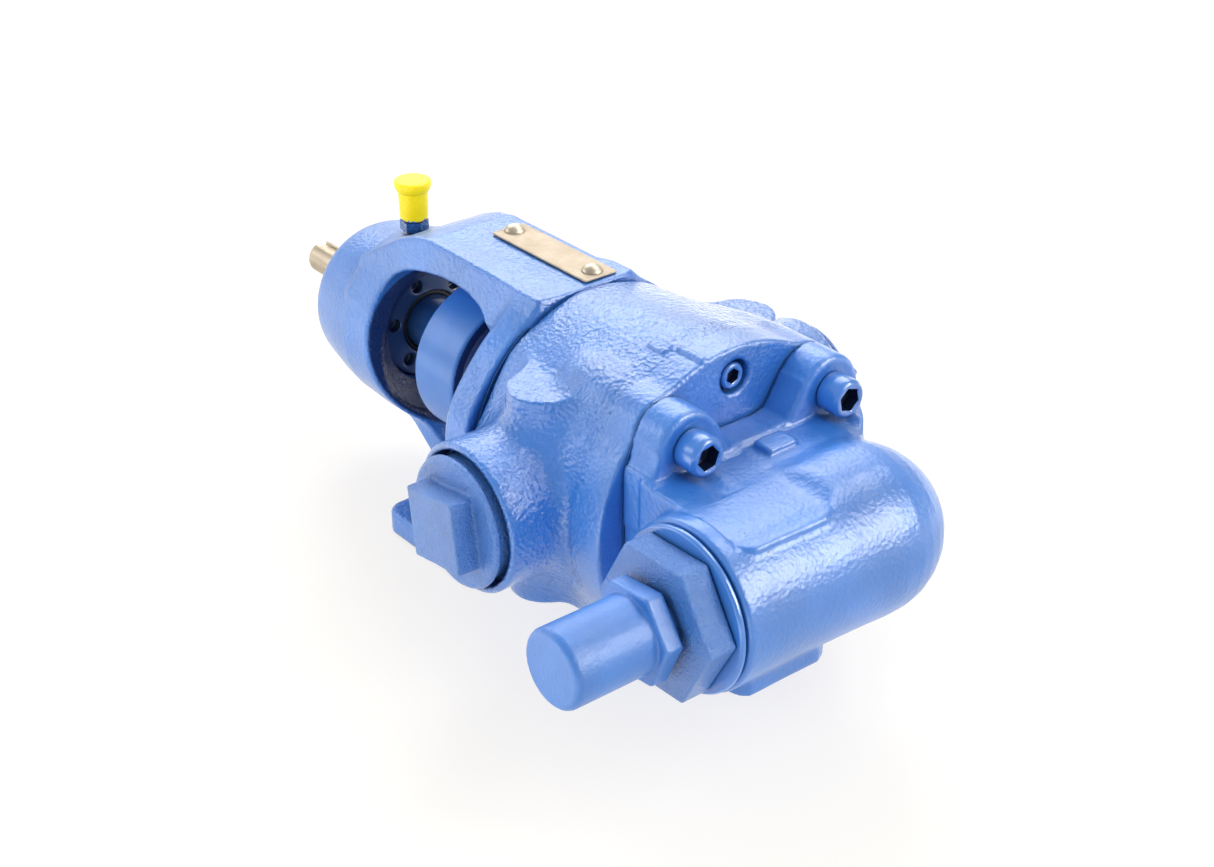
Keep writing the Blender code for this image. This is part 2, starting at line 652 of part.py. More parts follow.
# ============================================================= bearing and caps
inner_cap = ring("bearing_inner_cap", 13.7, 24.0, 182.3, 187.2, mat=PAINT, steps=24)
for i in range(6):
    a = math.radians(10 + 60 * i)
    cut(inner_cap, C("spanner_cut_%d" % i, 2.7, 176, 186.2,
                     at=(18.3 * math.cos(a), -18.3 * math.sin(a)), sides=8))
inner_lip_seal = ring("inner_lip_seal", 12.2, 13.4, 182.8, 187.0, mat=RUBBER, steps=16)
bearing_outer = turned("bearing_outer_ring", [
    (17.0, 200.2), (19.3, 200.2), (20.0, 199.5), (20.0, 188.7), (19.3, 188.0),
    (17.0, 188.0), (17.0, 200.2)], mat=STEEL, steps=16)
bearing_inner = ring("bearing_inner_ring", 8.5, 11.5, 188.0, 200.2, mat=STEEL,
                     steps=16, origin=188.0)
cage = ring("bearing_balls_and_cage", 13.3, 15.2, 192.2, 196.2, mat=BRONZE, steps=16,
            origin=194.2)
for i in range(7):
    a = 2 * math.pi * i / 7
    bm = bmesh.new()
    bmesh.ops.create_icosphere(bm, subdivisions=1, radius=2.5 * MM)
    ball = register("ball_tool_%d" % i, finish(bm, "ball_tool_%d" % i),
                    (14.25 * math.cos(a), 194.2, 14.25 * math.sin(a)), "+y", None,
                    cutter=True)
    join(cage, ball)
lock_washer = ring("lock_washer", 8.6, 12.4, 200.6, 201.5, mat=STEEL, steps=16)
lock_nut = ring("bearing_lock_nut", 8.6, 13.0, 201.9, 207.2, mat=STEEL, steps=16)
for i in range(4):
    a = math.pi / 2 * i + math.pi / 4
    slot = box("nut_slot_cut_%d" % i, (-1.8, 198, 11.4), (1.8, 210, 16), mat=None,
               cutter=True)
    slot.location = place(13.7 * math.cos(a), 204, 13.7 * math.sin(a))
    slot.rotation_euler = (0, math.pi / 2 - a, 0)
    cut(lock_nut, slot)
outer_cap = ring("bearing_outer_cap", 13.7, 24.0, 209.0, 217.5, mat=PAINT, steps=24)
for i in range(4):
    a = math.pi / 2 * i
    cut(outer_cap, C("outer_spanner_cut_%d" % i, 2.7, 212.5, 222,
                     at=(18.6 * math.cos(a), 18.6 * math.sin(a)), sides=8))
outer_lip_seal = ring("outer_lip_seal", 8.2, 13.4, 209.6, 216.4, mat=RUBBER, steps=16)

# ================================================================ port plugs
for sx in (-1, 1):
    s = "left" if sx < 0 else "right"
    ax = "-x" if sx < 0 else "+x"
    plug = turned("port_plug_" + s, [
        (0, sx * 84.6), (23.1, sx * 84.6), (24.2, sx * 83.4), (24.2, sx * 82.2),
        (PLUG_R, sx * 81.8),
        (PLUG_R - 0.3, sx * 62.0), (16.5, sx * 62.0), (15.5, sx * 74.0),
        (0, sx * 75.5)], at=(PORT_Y, 0), axis=ax, mat=PAINT, steps=24,
        origin=sx * 62.0)
    sq = box("plug_square_" + s, (-5.9, -PLUG_SQ / 2, -PLUG_SQ / 2),
             (5.9, PLUG_SQ / 2, PLUG_SQ / 2), mat=None, cutter=True, bevel=0.9)
    sq.location = place(sx * 87.6, PORT_Y, 0)
    sq.rotation_euler = (math.radians(-8.5 if sx < 0 else 21), 0, 0)
    join(plug, sq)

# ================================================================ relief valve
valve_body = turned("valve_body", [
    (0, 14.3)] + [(VALVE_R, 14.3), (VALVE_R, -58.5), (28.9, -59.3), (0, -59.3)],
    at=(VALVE_Y, VALVE_Z), axis="+x", mat=PAINT, steps=26)
dome = turned("dome_tool", [
    (30.5 * math.sin(math.radians(a)), 14.3 + 30.5 * math.cos(math.radians(a)))
    for a in range(0, 91, 18)] + [(30.5, 8.0), (VALVE_R, 5.0), (0, 5.0)],
    at=(VALVE_Y, VALVE_Z), axis="+x", mat=None, cutter=True, steps=26)


def flange_loop():
    """Valve flange: four ears, straight sides and a dipped top and bottom."""
    up = []
    up += [(48.6, 22), (48.6, 29)]
    up += arc(EAR_X, EAR_Z, EAR_R, 8, 137, 6)
    up += [(13.5, 33.5), (9.5, 31.2), (0, 30.6)]
    right = up
    left = [(-x, z) for x, z in up[::-1]][1:]
    top = right + left
    bottom = [(x, -z) for x, z in top[::-1]]
    return top + bottom


flange = plate("flange_tool", [flange_loop()], -14.2, -0.9, mat=None, cutter=True)
neck = plate("neck_tool", [[(-50.2, -10), (-50.8, -30), (-51.5, -60.8), (-50, -62),
                            (-18, -62), (-12.5, -50), (12, -52), (30, -33),
                            (40, -23), (48.4, -12), (48.4, -10)]],
             -26.5, 30.2, axis="+z", mat=None, cutter=True)
join(valve_body, dome, flange, neck)
# the writing pad is milled flat; the barrel behind it stands proud
cut(valve_body, box("pad_mill_cut", (-51.6, -64, 30.1), (-12.8, -18, 40), mat=None,
                    cutter=True))
square_pad = box("square_pad_tool", (-4.2, -23.4, 28), (8.6, -15.0, 31.8), mat=None,
                 cutter=True)
join(valve_body, square_pad)
valve_bore = turned("valve_bore_cut", [
    (0, 37), (13, 37), (13, 26.6), (9.0, 26.6), (9.0, 20.3), (15.2, 20.3),
    (15.2, -45.5), (20.3, -46.5), (20.3, -66), (0, -66)],
    at=(VALVE_Y, VALVE_Z), axis="+x", mat=None, cutter=True, steps=20)
cut(valve_body, valve_bore)
for i, (x0, x1) in enumerate([(-32, -18), (18, 34)]):
    if i == 0:
        cut(valve_body, box("valve_passage_cut_0", (x0, -40, 1), (x1, 4, 16),
                            mat=None, cutter=True))
    else:
        cut(valve_body, box("valve_passage_cut_1", (x0 + 10, -44, -1), (x1, 4, 15),
                            mat=None, cutter=True),
            box("valve_passage_cut_2", (17.5, -9, 1), (30, 4, 15), mat=None,
                cutter=True))
for i, (ex, ez) in enumerate(EARS):
    cut(valve_body, C("valve_ear_cut_%d" % i, 5.0, -30, 5, at=(ex, ez), sides=8),
        C("valve_spot_cut_%d" % i, 8.6, -40, -14.2, at=(ex, ez), sides=12))
vg = plate("valve_gasket", [flange_loop()] + [
    arc(ex, ez, 5.4, 0, 324, 9) for ex, ez in EARS] + [
    [(-32, 1), (-18, 1), (-18, 16), (-32, 16)],
    [(17.5, 1), (34, 1), (34, 15), (17.5, 15)]], -0.65, -0.3, mat=GASKET)

poppet = turned("relief_poppet", [
    (0, 22.6), (7.4, 22.6), (8.5, 21.4), (8.5, 20.0), (14.6, 20.0), (14.6, -10),
    (10.6, -10), (10.6, 14.0), (0, 14.0)],
    at=(VALVE_Y, VALVE_Z), axis="+x", mat=STEEL, steps=16, origin=20.0)
relief_spring = coil("relief_spring", (VALVE_Y, VALVE_Z), -38.2, 12.2, 8.2, 1.35, 6.5,
                     "+x", STEEL, per_turn=8)
spring_guide = turned("spring_guide", [
    (0, -34.0), (4.6, -34.0), (5.6, -35.0), (5.6, -40.0), (12.4, -40.0),
    (12.4, -44.0), (0, -44.0)],
    at=(VALVE_Y, VALVE_Z), axis="+x", mat=STEEL, steps=16, origin=-44.0)
adjusting_screw = turned("adjusting_screw", [
    (0, -44.4), (4.0, -44.4), (4.8, -45.2), (4.8, -99.2), (4.0, -100.0), (0, -100.0)],
    at=(VALVE_Y, VALVE_Z), axis="+x", mat=STEEL, steps=16, origin=-44.4)
cut(adjusting_screw, box("driver_slot_cut", (-104, VALVE_Y - 0.7, VALVE_Z - 8),
                         (-98.0, VALVE_Y + 0.7, VALVE_Z + 8), mat=None, cutter=True))
bonnet = turned("valve_bonnet", [
    (13.4, -46.8), (20.0, -46.8), (20.0, -62.8), (21, -62.8), (21, -73.7),
    (12.2, -73.9), (12.2, -74.2), (9.6, -74.2), (9.6, -84.2), (5.1, -84.2), (5.1, -70.5),
    (13.4, -68.0), (13.4, -46.8)],
    at=(VALVE_Y, VALVE_Z), axis="+x", mat=PAINT, steps=20)


def hex_block(name, s0, s1, af, bore, rot):
    """A hexagon block on the valve axis with a round bore, as a tool."""
    R = af / math.sqrt(3)
    loop = [(VALVE_Y + R * math.cos(math.radians(rot + 60 * k)),
             VALVE_Z + R * math.sin(math.radians(rot + 60 * k))) for k in range(6)]
    hole = arc(VALVE_Y, VALVE_Z, bore, 0, 340, 17)
    return plate(name, [loop, hole], s0, s1, axis="+x", mat=None, cutter=True)


bonnet_hex = hex_block("bonnet_hex_tool", -73.7, -62.8, 46.6, 20.5, 58)
join(bonnet, bonnet_hex)
bonnet_gasket = ring("bonnet_gasket", 20.7, 28.6, -62.5, -59.6, at=(VALVE_Y, VALVE_Z),
                     axis="+x", mat=PAINT, steps=24)
cap_gasket = ring("cap_gasket", 10.0, 13.6, -75.9, -74.5, at=(VALVE_Y, VALVE_Z),
                  axis="+x", mat=PAINT, steps=16, origin=-75.9)
valve_cap = turned("valve_cap", [
    (0, -107.0), (9.9, -107.0), (9.9, -76.2), (13.5, -76.2), (13.5, -112.0),
    (12.9, -113.5), (11.4, -114.1), (0, -114.1)],
    at=(VALVE_Y, VALVE_Z), axis="+x", mat=PAINT, steps=24, origin=-76.2)
join(valve_cap, hex_block("cap_hex_tool", -83.0, -76.2, 30.8, 10.6, 54.4))
lock_nut_hex = [(VALVE_Y + 8.6 * math.cos(math.radians(60 * k)),
                 VALVE_Z + 8.6 * math.sin(math.radians(60 * k))) for k in range(6)]
plate("adjusting_lock_nut", [lock_nut_hex, arc(VALVE_Y, VALVE_Z, 5.1, 0, 345, 23)],
      -91.5, -84.6, axis="+x", mat=STEEL, origin=(VALVE_Y, VALVE_Z))

# ==================================================== grease fitting, nameplate
GREASE_Y = 192.0
grease_fitting = turned("grease_fitting", [
    (0, 53.5), (2.2, 53.5), (2.9, 52.4), (2.3, 50.6), (3.6, 49.0), (3.6, 42.4),
    (5.6, 42.4), (5.6, 38.3), (3.1, 38.0), (3.1, 21.5), (0, 21.5)],
    at=(0, GREASE_Y), axis="+z", mat=PAINT, steps=12, origin=38.0)
grease_cap = turned("grease_cap", [
    (0, 59.6), (7.0, 59.6), (7.9, 58.9), (7.9, 57.0), (7.2, 56.2), (6.9, 51.0),
    (6.0, 43.6), (5.6, 42.8), (4.2, 42.8), (4.2, 55.8), (0, 55.8)],
    at=(0, GREASE_Y), axis="+z", mat=YELLOW, steps=16, origin=42.8)

nameplate = box("nameplate", (-0.9, 79.6, 54.3), (14.1, 137.0, 55.1), mat=PLATE)
for i, (px, py) in enumerate(PLATE_PINS):
    cut(nameplate, C("nameplate_hole_cut_%d" % i, 1.6, 50, 60, at=(px, py),
                     axis="+z", sides=8))
    turned("nameplate_screw_%d" % (i + 1), [
        (0, 57.6), (2.1, 57.3), (3.4, 56.5), (4.1, 55.4), (1.25, 55.4),
        (1.25, 49.0), (0, 49.0)], at=(px, py), axis="+z", mat=STEEL, steps=10,
        origin=49.0)
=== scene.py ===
import math

import bmesh
import bpy
import numpy as np
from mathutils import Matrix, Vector

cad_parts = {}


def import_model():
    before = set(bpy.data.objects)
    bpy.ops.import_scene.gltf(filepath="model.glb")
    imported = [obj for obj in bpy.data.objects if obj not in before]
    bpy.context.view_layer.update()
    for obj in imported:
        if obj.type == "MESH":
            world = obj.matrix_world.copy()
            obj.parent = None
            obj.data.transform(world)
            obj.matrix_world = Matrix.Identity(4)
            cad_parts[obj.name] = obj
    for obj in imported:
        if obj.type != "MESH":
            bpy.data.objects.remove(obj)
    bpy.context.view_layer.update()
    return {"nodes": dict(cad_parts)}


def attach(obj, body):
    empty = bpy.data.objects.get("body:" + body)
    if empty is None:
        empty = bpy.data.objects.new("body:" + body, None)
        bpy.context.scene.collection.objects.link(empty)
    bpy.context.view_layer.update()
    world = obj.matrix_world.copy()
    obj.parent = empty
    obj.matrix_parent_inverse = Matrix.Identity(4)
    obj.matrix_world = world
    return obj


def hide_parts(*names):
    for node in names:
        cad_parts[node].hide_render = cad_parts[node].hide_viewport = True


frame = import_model()

# Dimensions here are the pump's own millimetres: y from the head's front face,
# x and z from the shaft axis.  world() turns them into the shared frame.
FOOT_Y, SHAFT_H = 119.5, 63.0
HEAD_R = 59.0
CHAMBER_R = 38.5
PORT_Y, PORT_X = 46.7, 79.5
EAR_X, EAR_Z, EAR_R = 32.15, 38.06, 12.8
EARS = [(-EAR_X, EAR_Z), (EAR_X, EAR_Z), (-EAR_X, -EAR_Z), (EAR_X, -EAR_Z)]
VALVE_Y, VALVE_Z, VALVE_R = -45.3, 3.6, 29.5
HUB_END = 222.3
GREASE_Y = 192.0
PLATE_PINS = [(7.0, 132.9), (6.8, 85.2)]
F32 = np.float32


def world(pts):
    pts = np.asarray(pts, dtype=np.float64)
    return (pts + np.array([0.0, -FOOT_Y, SHAFT_H])) * 0.001


# ===================================================== distance-field modelling
# Castings are built as blended distance fields, so that bosses, webs and bores
# run into each other with the soft fillets of a painted casting.
def smin(a, b, k):
    if k <= 0:
        return np.minimum(a, b)
    h = np.clip(0.5 + 0.5 * (b - a) / k, 0, 1)
    return b + (a - b) * h - k * h * (1 - h)


def smax(a, b, k):
    if k <= 0:
        return np.maximum(a, b)
    h = np.clip(0.5 - 0.5 * (b - a) / k, 0, 1)
    return b + (a - b) * h + k * h * (1 - h)


def polygon(u, v, pts):
    """Signed distance to a closed outline, negative inside."""
    pts = [(F32(a), F32(b)) for a, b in pts]
    d = (u - pts[0][0]) ** 2 + (v - pts[0][1]) ** 2
    s = np.ones(u.shape, bool)
    j = len(pts) - 1
    for i in range(len(pts)):
        ax, ay = pts[j]
        bx, by = pts[i]
        ex, ey = ax - bx, ay - by
        wx, wy = u - bx, v - by
        t = np.clip((wx * ex + wy * ey) / max(ex * ex + ey * ey, F32(1e-9)), 0, 1)
        dx, dy = wx - ex * t, wy - ey * t
        d = np.minimum(d, dx * dx + dy * dy)
        c1, c2, c3 = v >= by, v < ay, (ex * wy) > (ey * wx)
        flip = (c1 & c2 & c3) | (~c1 & ~c2 & ~c3)
        s ^= flip
        j = i
    return np.where(s, 1, -1).astype(F32) * np.sqrt(d)


def slab(d2, w, lo, hi, r=0.0):
    """A flat outline's distance d2 extruded from lo to hi, edges rounded r."""
    dz = np.abs(w - (lo + hi) / 2) - (abs(hi - lo) / 2 - r)
    d2 = d2 + r
    return (np.minimum(np.maximum(d2, dz), 0)
            + np.hypot(np.maximum(d2, 0), np.maximum(dz, 0)) - r)


AX = {"x": (1, 2, 0), "y": (0, 2, 1), "z": (0, 1, 2)}


def split(p, axis):
    a, b, c = AX[axis]
    return p[a], p[b], p[c]


def rod(p, axis, at, lo, hi, r, rnd=0.0):
    a, b, s = split(p, axis)
    return slab(np.hypot(a - at[0], b - at[1]) - r, s, min(lo, hi), max(lo, hi), rnd)


def lathe(p, axis, at, profile):
    """Turned shape; (radius, station) corners, radius 0 on the axis."""
    a, b, s = split(p, axis)
    rad = np.hypot(a - at[0], b - at[1])
    pts = [(r if r > 0 else -60.0, st) for r, st in profile]
    return polygon(rad, s, pts)


def block(p, lo, hi, r=0.0):
    q = [np.abs(p[i] - (lo[i] + hi[i]) / 2) - ((hi[i] - lo[i]) / 2 - r) for i in range(3)]
    out = np.sqrt(sum(np.maximum(c, 0) ** 2 for c in q))
    return out + np.minimum(np.maximum(q[0], np.maximum(q[1], q[2])), 0) - r


def ball(p, c, r):
    return np.sqrt((p[0] - c[0]) ** 2 + (p[1] - c[1]) ** 2 + (p[2] - c[2]) ** 2) - r


def rolling(p, size, amp, seed):
    """Gentle unevenness of a sand casting, in millimetres."""
    out = 0
    rs = np.random.RandomState(seed)
    for k in range(5):
        d = rs.normal(size=3)
        d /= np.linalg.norm(d)
        f = 2 * math.pi / (size * (0.7 + 0.25 * k))
        out = out + np.sin((p[0] * d[0] + p[1] * d[1] + p[2] * d[2]) * f
                           + rs.uniform(0, 6.28))
    return out * (amp / 2.5)


def surface(name, f, lo, hi, h, body, mat, replaces=(), crisp=None):
    """Turn a distance field into a closed quad mesh (surface nets), pull the
    points onto the exact surface, and hang the piece on its body."""
    lo = np.array(lo, float) - 2.03 * h
    hi = np.array(hi, float) + 2.03 * h
    B = 4
    nb = np.ceil((hi - lo) / (h * B)).astype(int)
    n = nb * B + 1
    grid = np.full(n, 1e3, F32)
    axes = [np.arange(nb[i]) for i in range(3)]
    bi, bj, bk = [g.ravel() for g in np.meshgrid(*axes, indexing="ij")]
    cen = [(lo[i] + (v * B + B / 2) * h).astype(F32) for i, v in enumerate((bi, bj, bk))]
    dc = np.empty(len(bi), F32)
    for s in range(0, len(bi), 200000):
        e = slice(s, s + 200000)
        dc[e] = f([c[e] for c in cen])
    reach = B * h * 0.5 * 1.7321 * 1.25 + 0.3
    inside = dc < -reach
    # blocks wholly inside are filled, blocks near the surface are sampled
    fill = np.zeros(nb, bool)
    fill[bi[inside], bj[inside], bk[inside]] = True
    big = np.repeat(np.repeat(np.repeat(fill, B, 0), B, 1), B, 2)
    grid[:-1, :-1, :-1][big] = -1e3
    grid[1:, 1:, 1:][big] = -1e3
    near = np.abs(dc) <= reach
    off = np.stack(np.meshgrid(*[np.arange(B + 1)] * 3, indexing="ij"), -1).reshape(-1, 3)
    ai, aj, ak = bi[near] * B, bj[near] * B, bk[near] * B
    step = 2400
    for s in range(0, len(ai), step):
        I = (ai[s:s + step, None] + off[None, :, 0]).ravel()
        J = (aj[s:s + step, None] + off[None, :, 1]).ravel()
        K = (ak[s:s + step, None] + off[None, :, 2]).ravel()
        grid[I, J, K] = f([(lo[0] + I * h).astype(F32), (lo[1] + J * h).astype(F32),
                           (lo[2] + K * h).astype(F32)])
    neg = grid < 0
    cnt = np.zeros([m - 1 for m in n], np.int8)
    for dx in (0, 1):
        for dy in (0, 1):
            for dz in (0, 1):
                cnt += neg[dx:n[0] - 1 + dx, dy:n[1] - 1 + dy, dz:n[2] - 1 + dz]
    mask = (cnt > 0) & (cnt < 8)
    cells = np.argwhere(mask)
    cid = np.full(mask.shape, -1, np.int64)
    cid[mask] = np.arange(len(cells))
    acc = np.zeros((len(cells), 3))
    num = np.zeros(len(cells))
    corners = [(0, 0, 0), (1, 0, 0), (0, 1, 0), (1, 1, 0), (0, 0, 1), (1, 0, 1),
               (0, 1, 1), (1, 1, 1)]
    vals = {c: grid[cells[:, 0] + c[0], cells[:, 1] + c[1], cells[:, 2] + c[2]]
            for c in corners}
    for c in corners:
        for ax in range(3):
            if c[ax]:
                continue
            d = list(c)
            d[ax] = 1
            a, b = vals[c], vals[tuple(d)]
            hit = (a < 0) != (b < 0)
            t = np.where(hit, a / np.where(hit, a - b, 1), 0)
            for k in range(3):
                acc[:, k] += np.where(hit, c[k] + (t if k == ax else 0), 0)
            num += hit
    pts = lo + (cells + acc / num[:, None]) * h
    # pull onto the surface
    for it in range(3):
        q = [pts[:, i].astype(F32) for i in range(3)]
        v = f(q)
        e = F32(0.12 * h)
        g = np.stack([f([q[j] + (e if j == i else 0) for j in range(3)]) - v
                      for i in range(3)], 1) / e
        g2 = np.maximum((g * g).sum(1), 0.25)
        pts -= (np.clip(v, -0.5 * h, 0.5 * h) / g2)[:, None] * g
    hard = None
    if crisp:
        # put the points of one straight-cut edge exactly on that edge
        ca, cv, cf = crisp
        hard = cells[:, ca] == int(math.floor((cv - lo[ca]) / h))
        q = pts[hard]
        q[:, ca] = cv
        others = [k for k in range(3) if k != ca]
        e = F32(0.1 * h)
        ok = np.abs(cf([q[:, k].astype(F32) for k in range(3)])) < 0.95 * h
        for it in range(3):
            p0 = [q[:, k].astype(F32) for k in range(3)]
            v = cf(p0)
            g = np.zeros_like(q)
            for k in others:
                g[:, k] = (cf([p0[j] + (e if j == k else 0) for j in range(3)]) - v) / e
            g2 = np.maximum((g * g).sum(1), 0.25)
            q -= (np.clip(v, -h, h) / g2)[:, None] * g
        idx = np.nonzero(hard)[0]
        hard[idx[~ok]] = False
        pts[idx[ok]] = q[ok]
    quads = []
    for ax in range(3):
        b, c = [(1, 2), (2, 0), (0, 1)][ax]
        s0 = [slice(None)] * 3
        s1 = [slice(None)] * 3
        s0[ax], s1[ax] = slice(0, n[ax] - 1), slice(1, n[ax])
        change = neg[tuple(s0)] != neg[tuple(s1)]
        lim = [slice(None)] * 3
        lim[b], lim[c] = slice(1, n[b] - 1), slice(1, n[c] - 1)
        where = np.argwhere(change[tuple(lim)])
        where[:, b] += 1
        where[:, c] += 1
        first = neg[where[:, 0], where[:, 1], where[:, 2]]
        ring = []
        for db, dcc in ((-1, -1), (0, -1), (0, 0), (-1, 0)):
            w = where.copy()
            w[:, b] += db
            w[:, c] += dcc
            ring.append(cid[w[:, 0], w[:, 1], w[:, 2]])
        ring = np.stack(ring, 1)
        ring[~first] = ring[~first][:, ::-1]
        quads.append(ring)
    quads = np.concatenate(quads)
    me = bpy.data.meshes.new(name)
    me.vertices.add(len(pts))
    me.vertices.foreach_set("co", world(pts).astype(F32).ravel())
    me.loops.add(len(quads) * 4)
    me.loops.foreach_set("vertex_index", quads.astype(np.int32).ravel())
    me.polygons.add(len(quads))
    me.polygons.foreach_set("loop_start", np.arange(0, len(quads) * 4, 4, dtype=np.int32))
    me.update(calc_edges=True)
    me.shade_smooth()
    if hard is not None:
        ev = np.empty(len(me.edges) * 2, np.int32)
        me.edges.foreach_get("vertices", ev)
        ev = ev.reshape(-1, 2)
        at = me.attributes.new("sharp_edge", "BOOLEAN", "EDGE")
        at.data.foreach_set("value", hard[ev[:, 0]] & hard[ev[:, 1]])
    me.validate()
    return hang(name, me, body, mat, replaces)


def hang(name, me, body, mat, replaces=()):
    mats = mat if isinstance(mat, (list, tuple)) else [mat]
    for m in mats:
        me.materials.append(m)
    ob = bpy.data.objects.new(name, me)
    bpy.context.scene.collection.objects.link(ob)
    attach(ob, body)
    if replaces:
        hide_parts(*replaces)
    return ob


# ============================================================== turned pieces
def hexagon(af, rot=0.0, blunt=0.985):
    """Radius of a hexagon, with slightly blunted corners, by angle."""
    def f(t):
        a = (t - math.radians(rot) + math.pi / 6) % (math.pi / 3) - math.pi / 6
        return min(af / 2 / math.cos(math.pi / 6 - abs(a)), af / math.sqrt(3) * blunt)
    return f


def square(side, rot=0.0, blunt=0.955):
    def f(t):
        a = (t - math.radians(rot) + math.pi / 4) % (math.pi / 2) - math.pi / 4
        return min(side / 2 / math.cos(math.pi / 4 - abs(a)), side / math.sqrt(2) * blunt)
    return f


def rings(name, prof, axis, at, body, mat, replaces=(), n=96,
          rot=0.0, close=False, dark_from=None, sharp=38, jitter=None):
    """Loft of rings about an axis.  prof is a list of (radius or function of
    angle, station); a radius of 0 closes the end.  Edges of the profile are
    rounded where bend() put extra points in."""
    a_i, b_i, s_i = AX[axis]
    bm = bmesh.new()
    loops = []
    for item in prof:
        r, st = item[0], item[1]
        if not callable(r) and r == 0:
            p = [0, 0, 0]
            p[a_i], p[b_i], p[s_i] = at[0], at[1], st
            loops.append([bm.verts.new(p)])
            continue
        loop = []
        for k in range(n):
            t = math.radians(rot) + 2 * math.pi * k / n
            rr = r(t) if callable(r) else r
            p = [0, 0, 0]
            p[a_i], p[b_i], p[s_i] = at[0] + rr * math.cos(t), at[1] + rr * math.sin(t), st
            loop.append(bm.verts.new(p))
        loops.append(loop)
    pairs = list(zip(loops, loops[1:]))
    if close:
        pairs.append((loops[-1], loops[0]))
    for idx, (p, q) in enumerate(pairs):
        for k in range(n):
            k2 = (k + 1) % n
            if len(p) == 1 and len(q) == 1:
                continue
            if len(p) == 1:
                fc = bm.faces.new((p[0], q[k], q[k2]))
            elif len(q) == 1:
                fc = bm.faces.new((p[k], q[0], p[k2]))
            else:
                fc = bm.faces.new((p[k], q[k], q[k2], p[k2]))
            if dark_from is not None and idx >= dark_from:
                fc.material_index = 1
    bmesh.ops.recalc_face_normals(bm, faces=bm.faces)
    co = world([v.co[:] for v in bm.verts])
    for v, c in zip(bm.verts, co):
        v.co = c
    me = bpy.data.meshes.new(name)
    bm.to_mesh(me)
    bm.free()
    me.shade_smooth()
    me.set_sharp_from_angle(angle=math.radians(sharp))
    return hang(name, me, body, mat, replaces)


def bend(prof, r=0.6, n=3, skip=()):
    """Round the corners of a plain-radius profile with small arcs."""
    out = [prof[0]]
    for i in range(1, len(prof) - 1):
        (a, b), (c, d), (e, f) = prof[i - 1][:2], prof[i][:2], prof[i + 1][:2]
        if callable(a) or callable(c) or callable(e) or i in skip:
            out.append(prof[i])
            continue
        u = Vector((a - c, b - d))
        v = Vector((e - c, f - d))
        if u.length < 1e-6 or v.length < 1e-6:
            out.append(prof[i])
            continue
        t = min(r, u.length * 0.45, v.length * 0.45)
        p0 = Vector((c, d)) + u.normalized() * t
        p2 = Vector((c, d)) + v.normalized() * t
        for k in range(n + 1):
            s = k / n
            q = p0 * (1 - s) ** 2 + Vector((c, d)) * 2 * s * (1 - s) + p2 * s * s
            out.append((q.x, q.y))
    out.append(prof[-1])
    return out


# ==================================================================== materials
def nodes_of(name):
    m = bpy.data.materials.new(name)
    m.use_nodes = True
    nt = m.node_tree
    for nd in list(nt.nodes):
        nt.nodes.remove(nd)
    out = nt.nodes.new("ShaderNodeOutputMaterial")
    b = nt.nodes.new("ShaderNodeBsdfPrincipled")
    nt.links.new(b.outputs[0], out.inputs[0])
    return m, nt, b


def coords(nt, scale=1000.0):
    """World position in millimetres, as the surface has it at rest."""
    tc = nt.nodes.new("ShaderNodeTexCoord")
    mp = nt.nodes.new("ShaderNodeMapping")
    mp.inputs["Scale"].default_value = (scale, scale, scale)
    nt.links.new(tc.outputs["Object"], mp.inputs["Vector"])
    return mp.outputs["Vector"]


def noise(nt, vec, scale, detail=3.0, rough=0.55, distort=0.0):
    nd = nt.nodes.new("ShaderNodeTexNoise")
    nd.inputs["Scale"].default_value = scale
    nd.inputs["Detail"].default_value = detail
    nd.inputs["Roughness"].default_value = rough
    nd.inputs["Distortion"].default_value = distort
    nt.links.new(vec, nd.inputs["Vector"])
    return nd.outputs["Fac"]


def ramp(nt, fac, stops):
    nd = nt.nodes.new("ShaderNodeValToRGB")
    while len(nd.color_ramp.elements) < len(stops):
        nd.color_ramp.elements.new(0.5)
    for el, (pos, col) in zip(nd.color_ramp.elements, stops):
        el.position = pos
        el.color = (*col, 1) if len(col) == 3 else col
    nt.links.new(fac, nd.inputs["Fac"])
    return nd.outputs["Color"]


def math_node(nt, op, a, b, clamp=False):
    nd = nt.nodes.new("ShaderNodeMath")
    nd.operation = op
    nd.use_clamp = clamp
    for i, v in enumerate((a, b)):
        if isinstance(v, (int, float)):
            nd.inputs[i].default_value = v
        else:
            nt.links.new(v, nd.inputs[i])
    return nd.outputs[0]


def mix_col(nt, fac, a, b, mode="MIX"):
    nd = nt.nodes.new("ShaderNodeMix")
    nd.data_type = "RGBA"
    nd.blend_type = mode
    for sock, v in ((nd.inputs[0], fac), (nd.inputs[6], a), (nd.inputs[7], b)):
        if isinstance(v, (int, float)):
            sock.default_value = v
        elif isinstance(v, tuple):
            sock.default_value = (*v, 1)
        else:
            nt.links.new(v, sock)
    return nd.outputs[2]


def bump(nt, height, strength, dist, normal=None):
    nd = nt.nodes.new("ShaderNodeBump")
    nd.inputs["Strength"].default_value = strength
    nd.inputs["Distance"].default_value = dist * 0.001
    nt.links.new(height, nd.inputs["Height"])
    if normal is not None:
        nt.links.new(normal, nd.inputs["Normal"])
    return nd.outputs["Normal"]


BLUE = (0.040, 0.215, 0.69)


def painted_crevice_shade(nt, reach_mm, floor_level):
    """Painted shade: the colour darkens in corners, holes and crevices, as an ambient
    occlusion node finds them.
    """
    ao = nt.nodes.new("ShaderNodeAmbientOcclusion")
    ao.samples = 3
    ao.inputs["Distance"].default_value = reach_mm * 0.001
    mr = nt.nodes.new("ShaderNodeMapRange")
    mr.inputs["From Min"].default_value = 0.12
    mr.inputs["From Max"].default_value = 0.62
    mr.inputs["To Min"].default_value = floor_level
    mr.inputs["To Max"].default_value = 1.0
    nt.links.new(ao.outputs["AO"], mr.inputs["Value"])
    return mr.outputs["Result"]


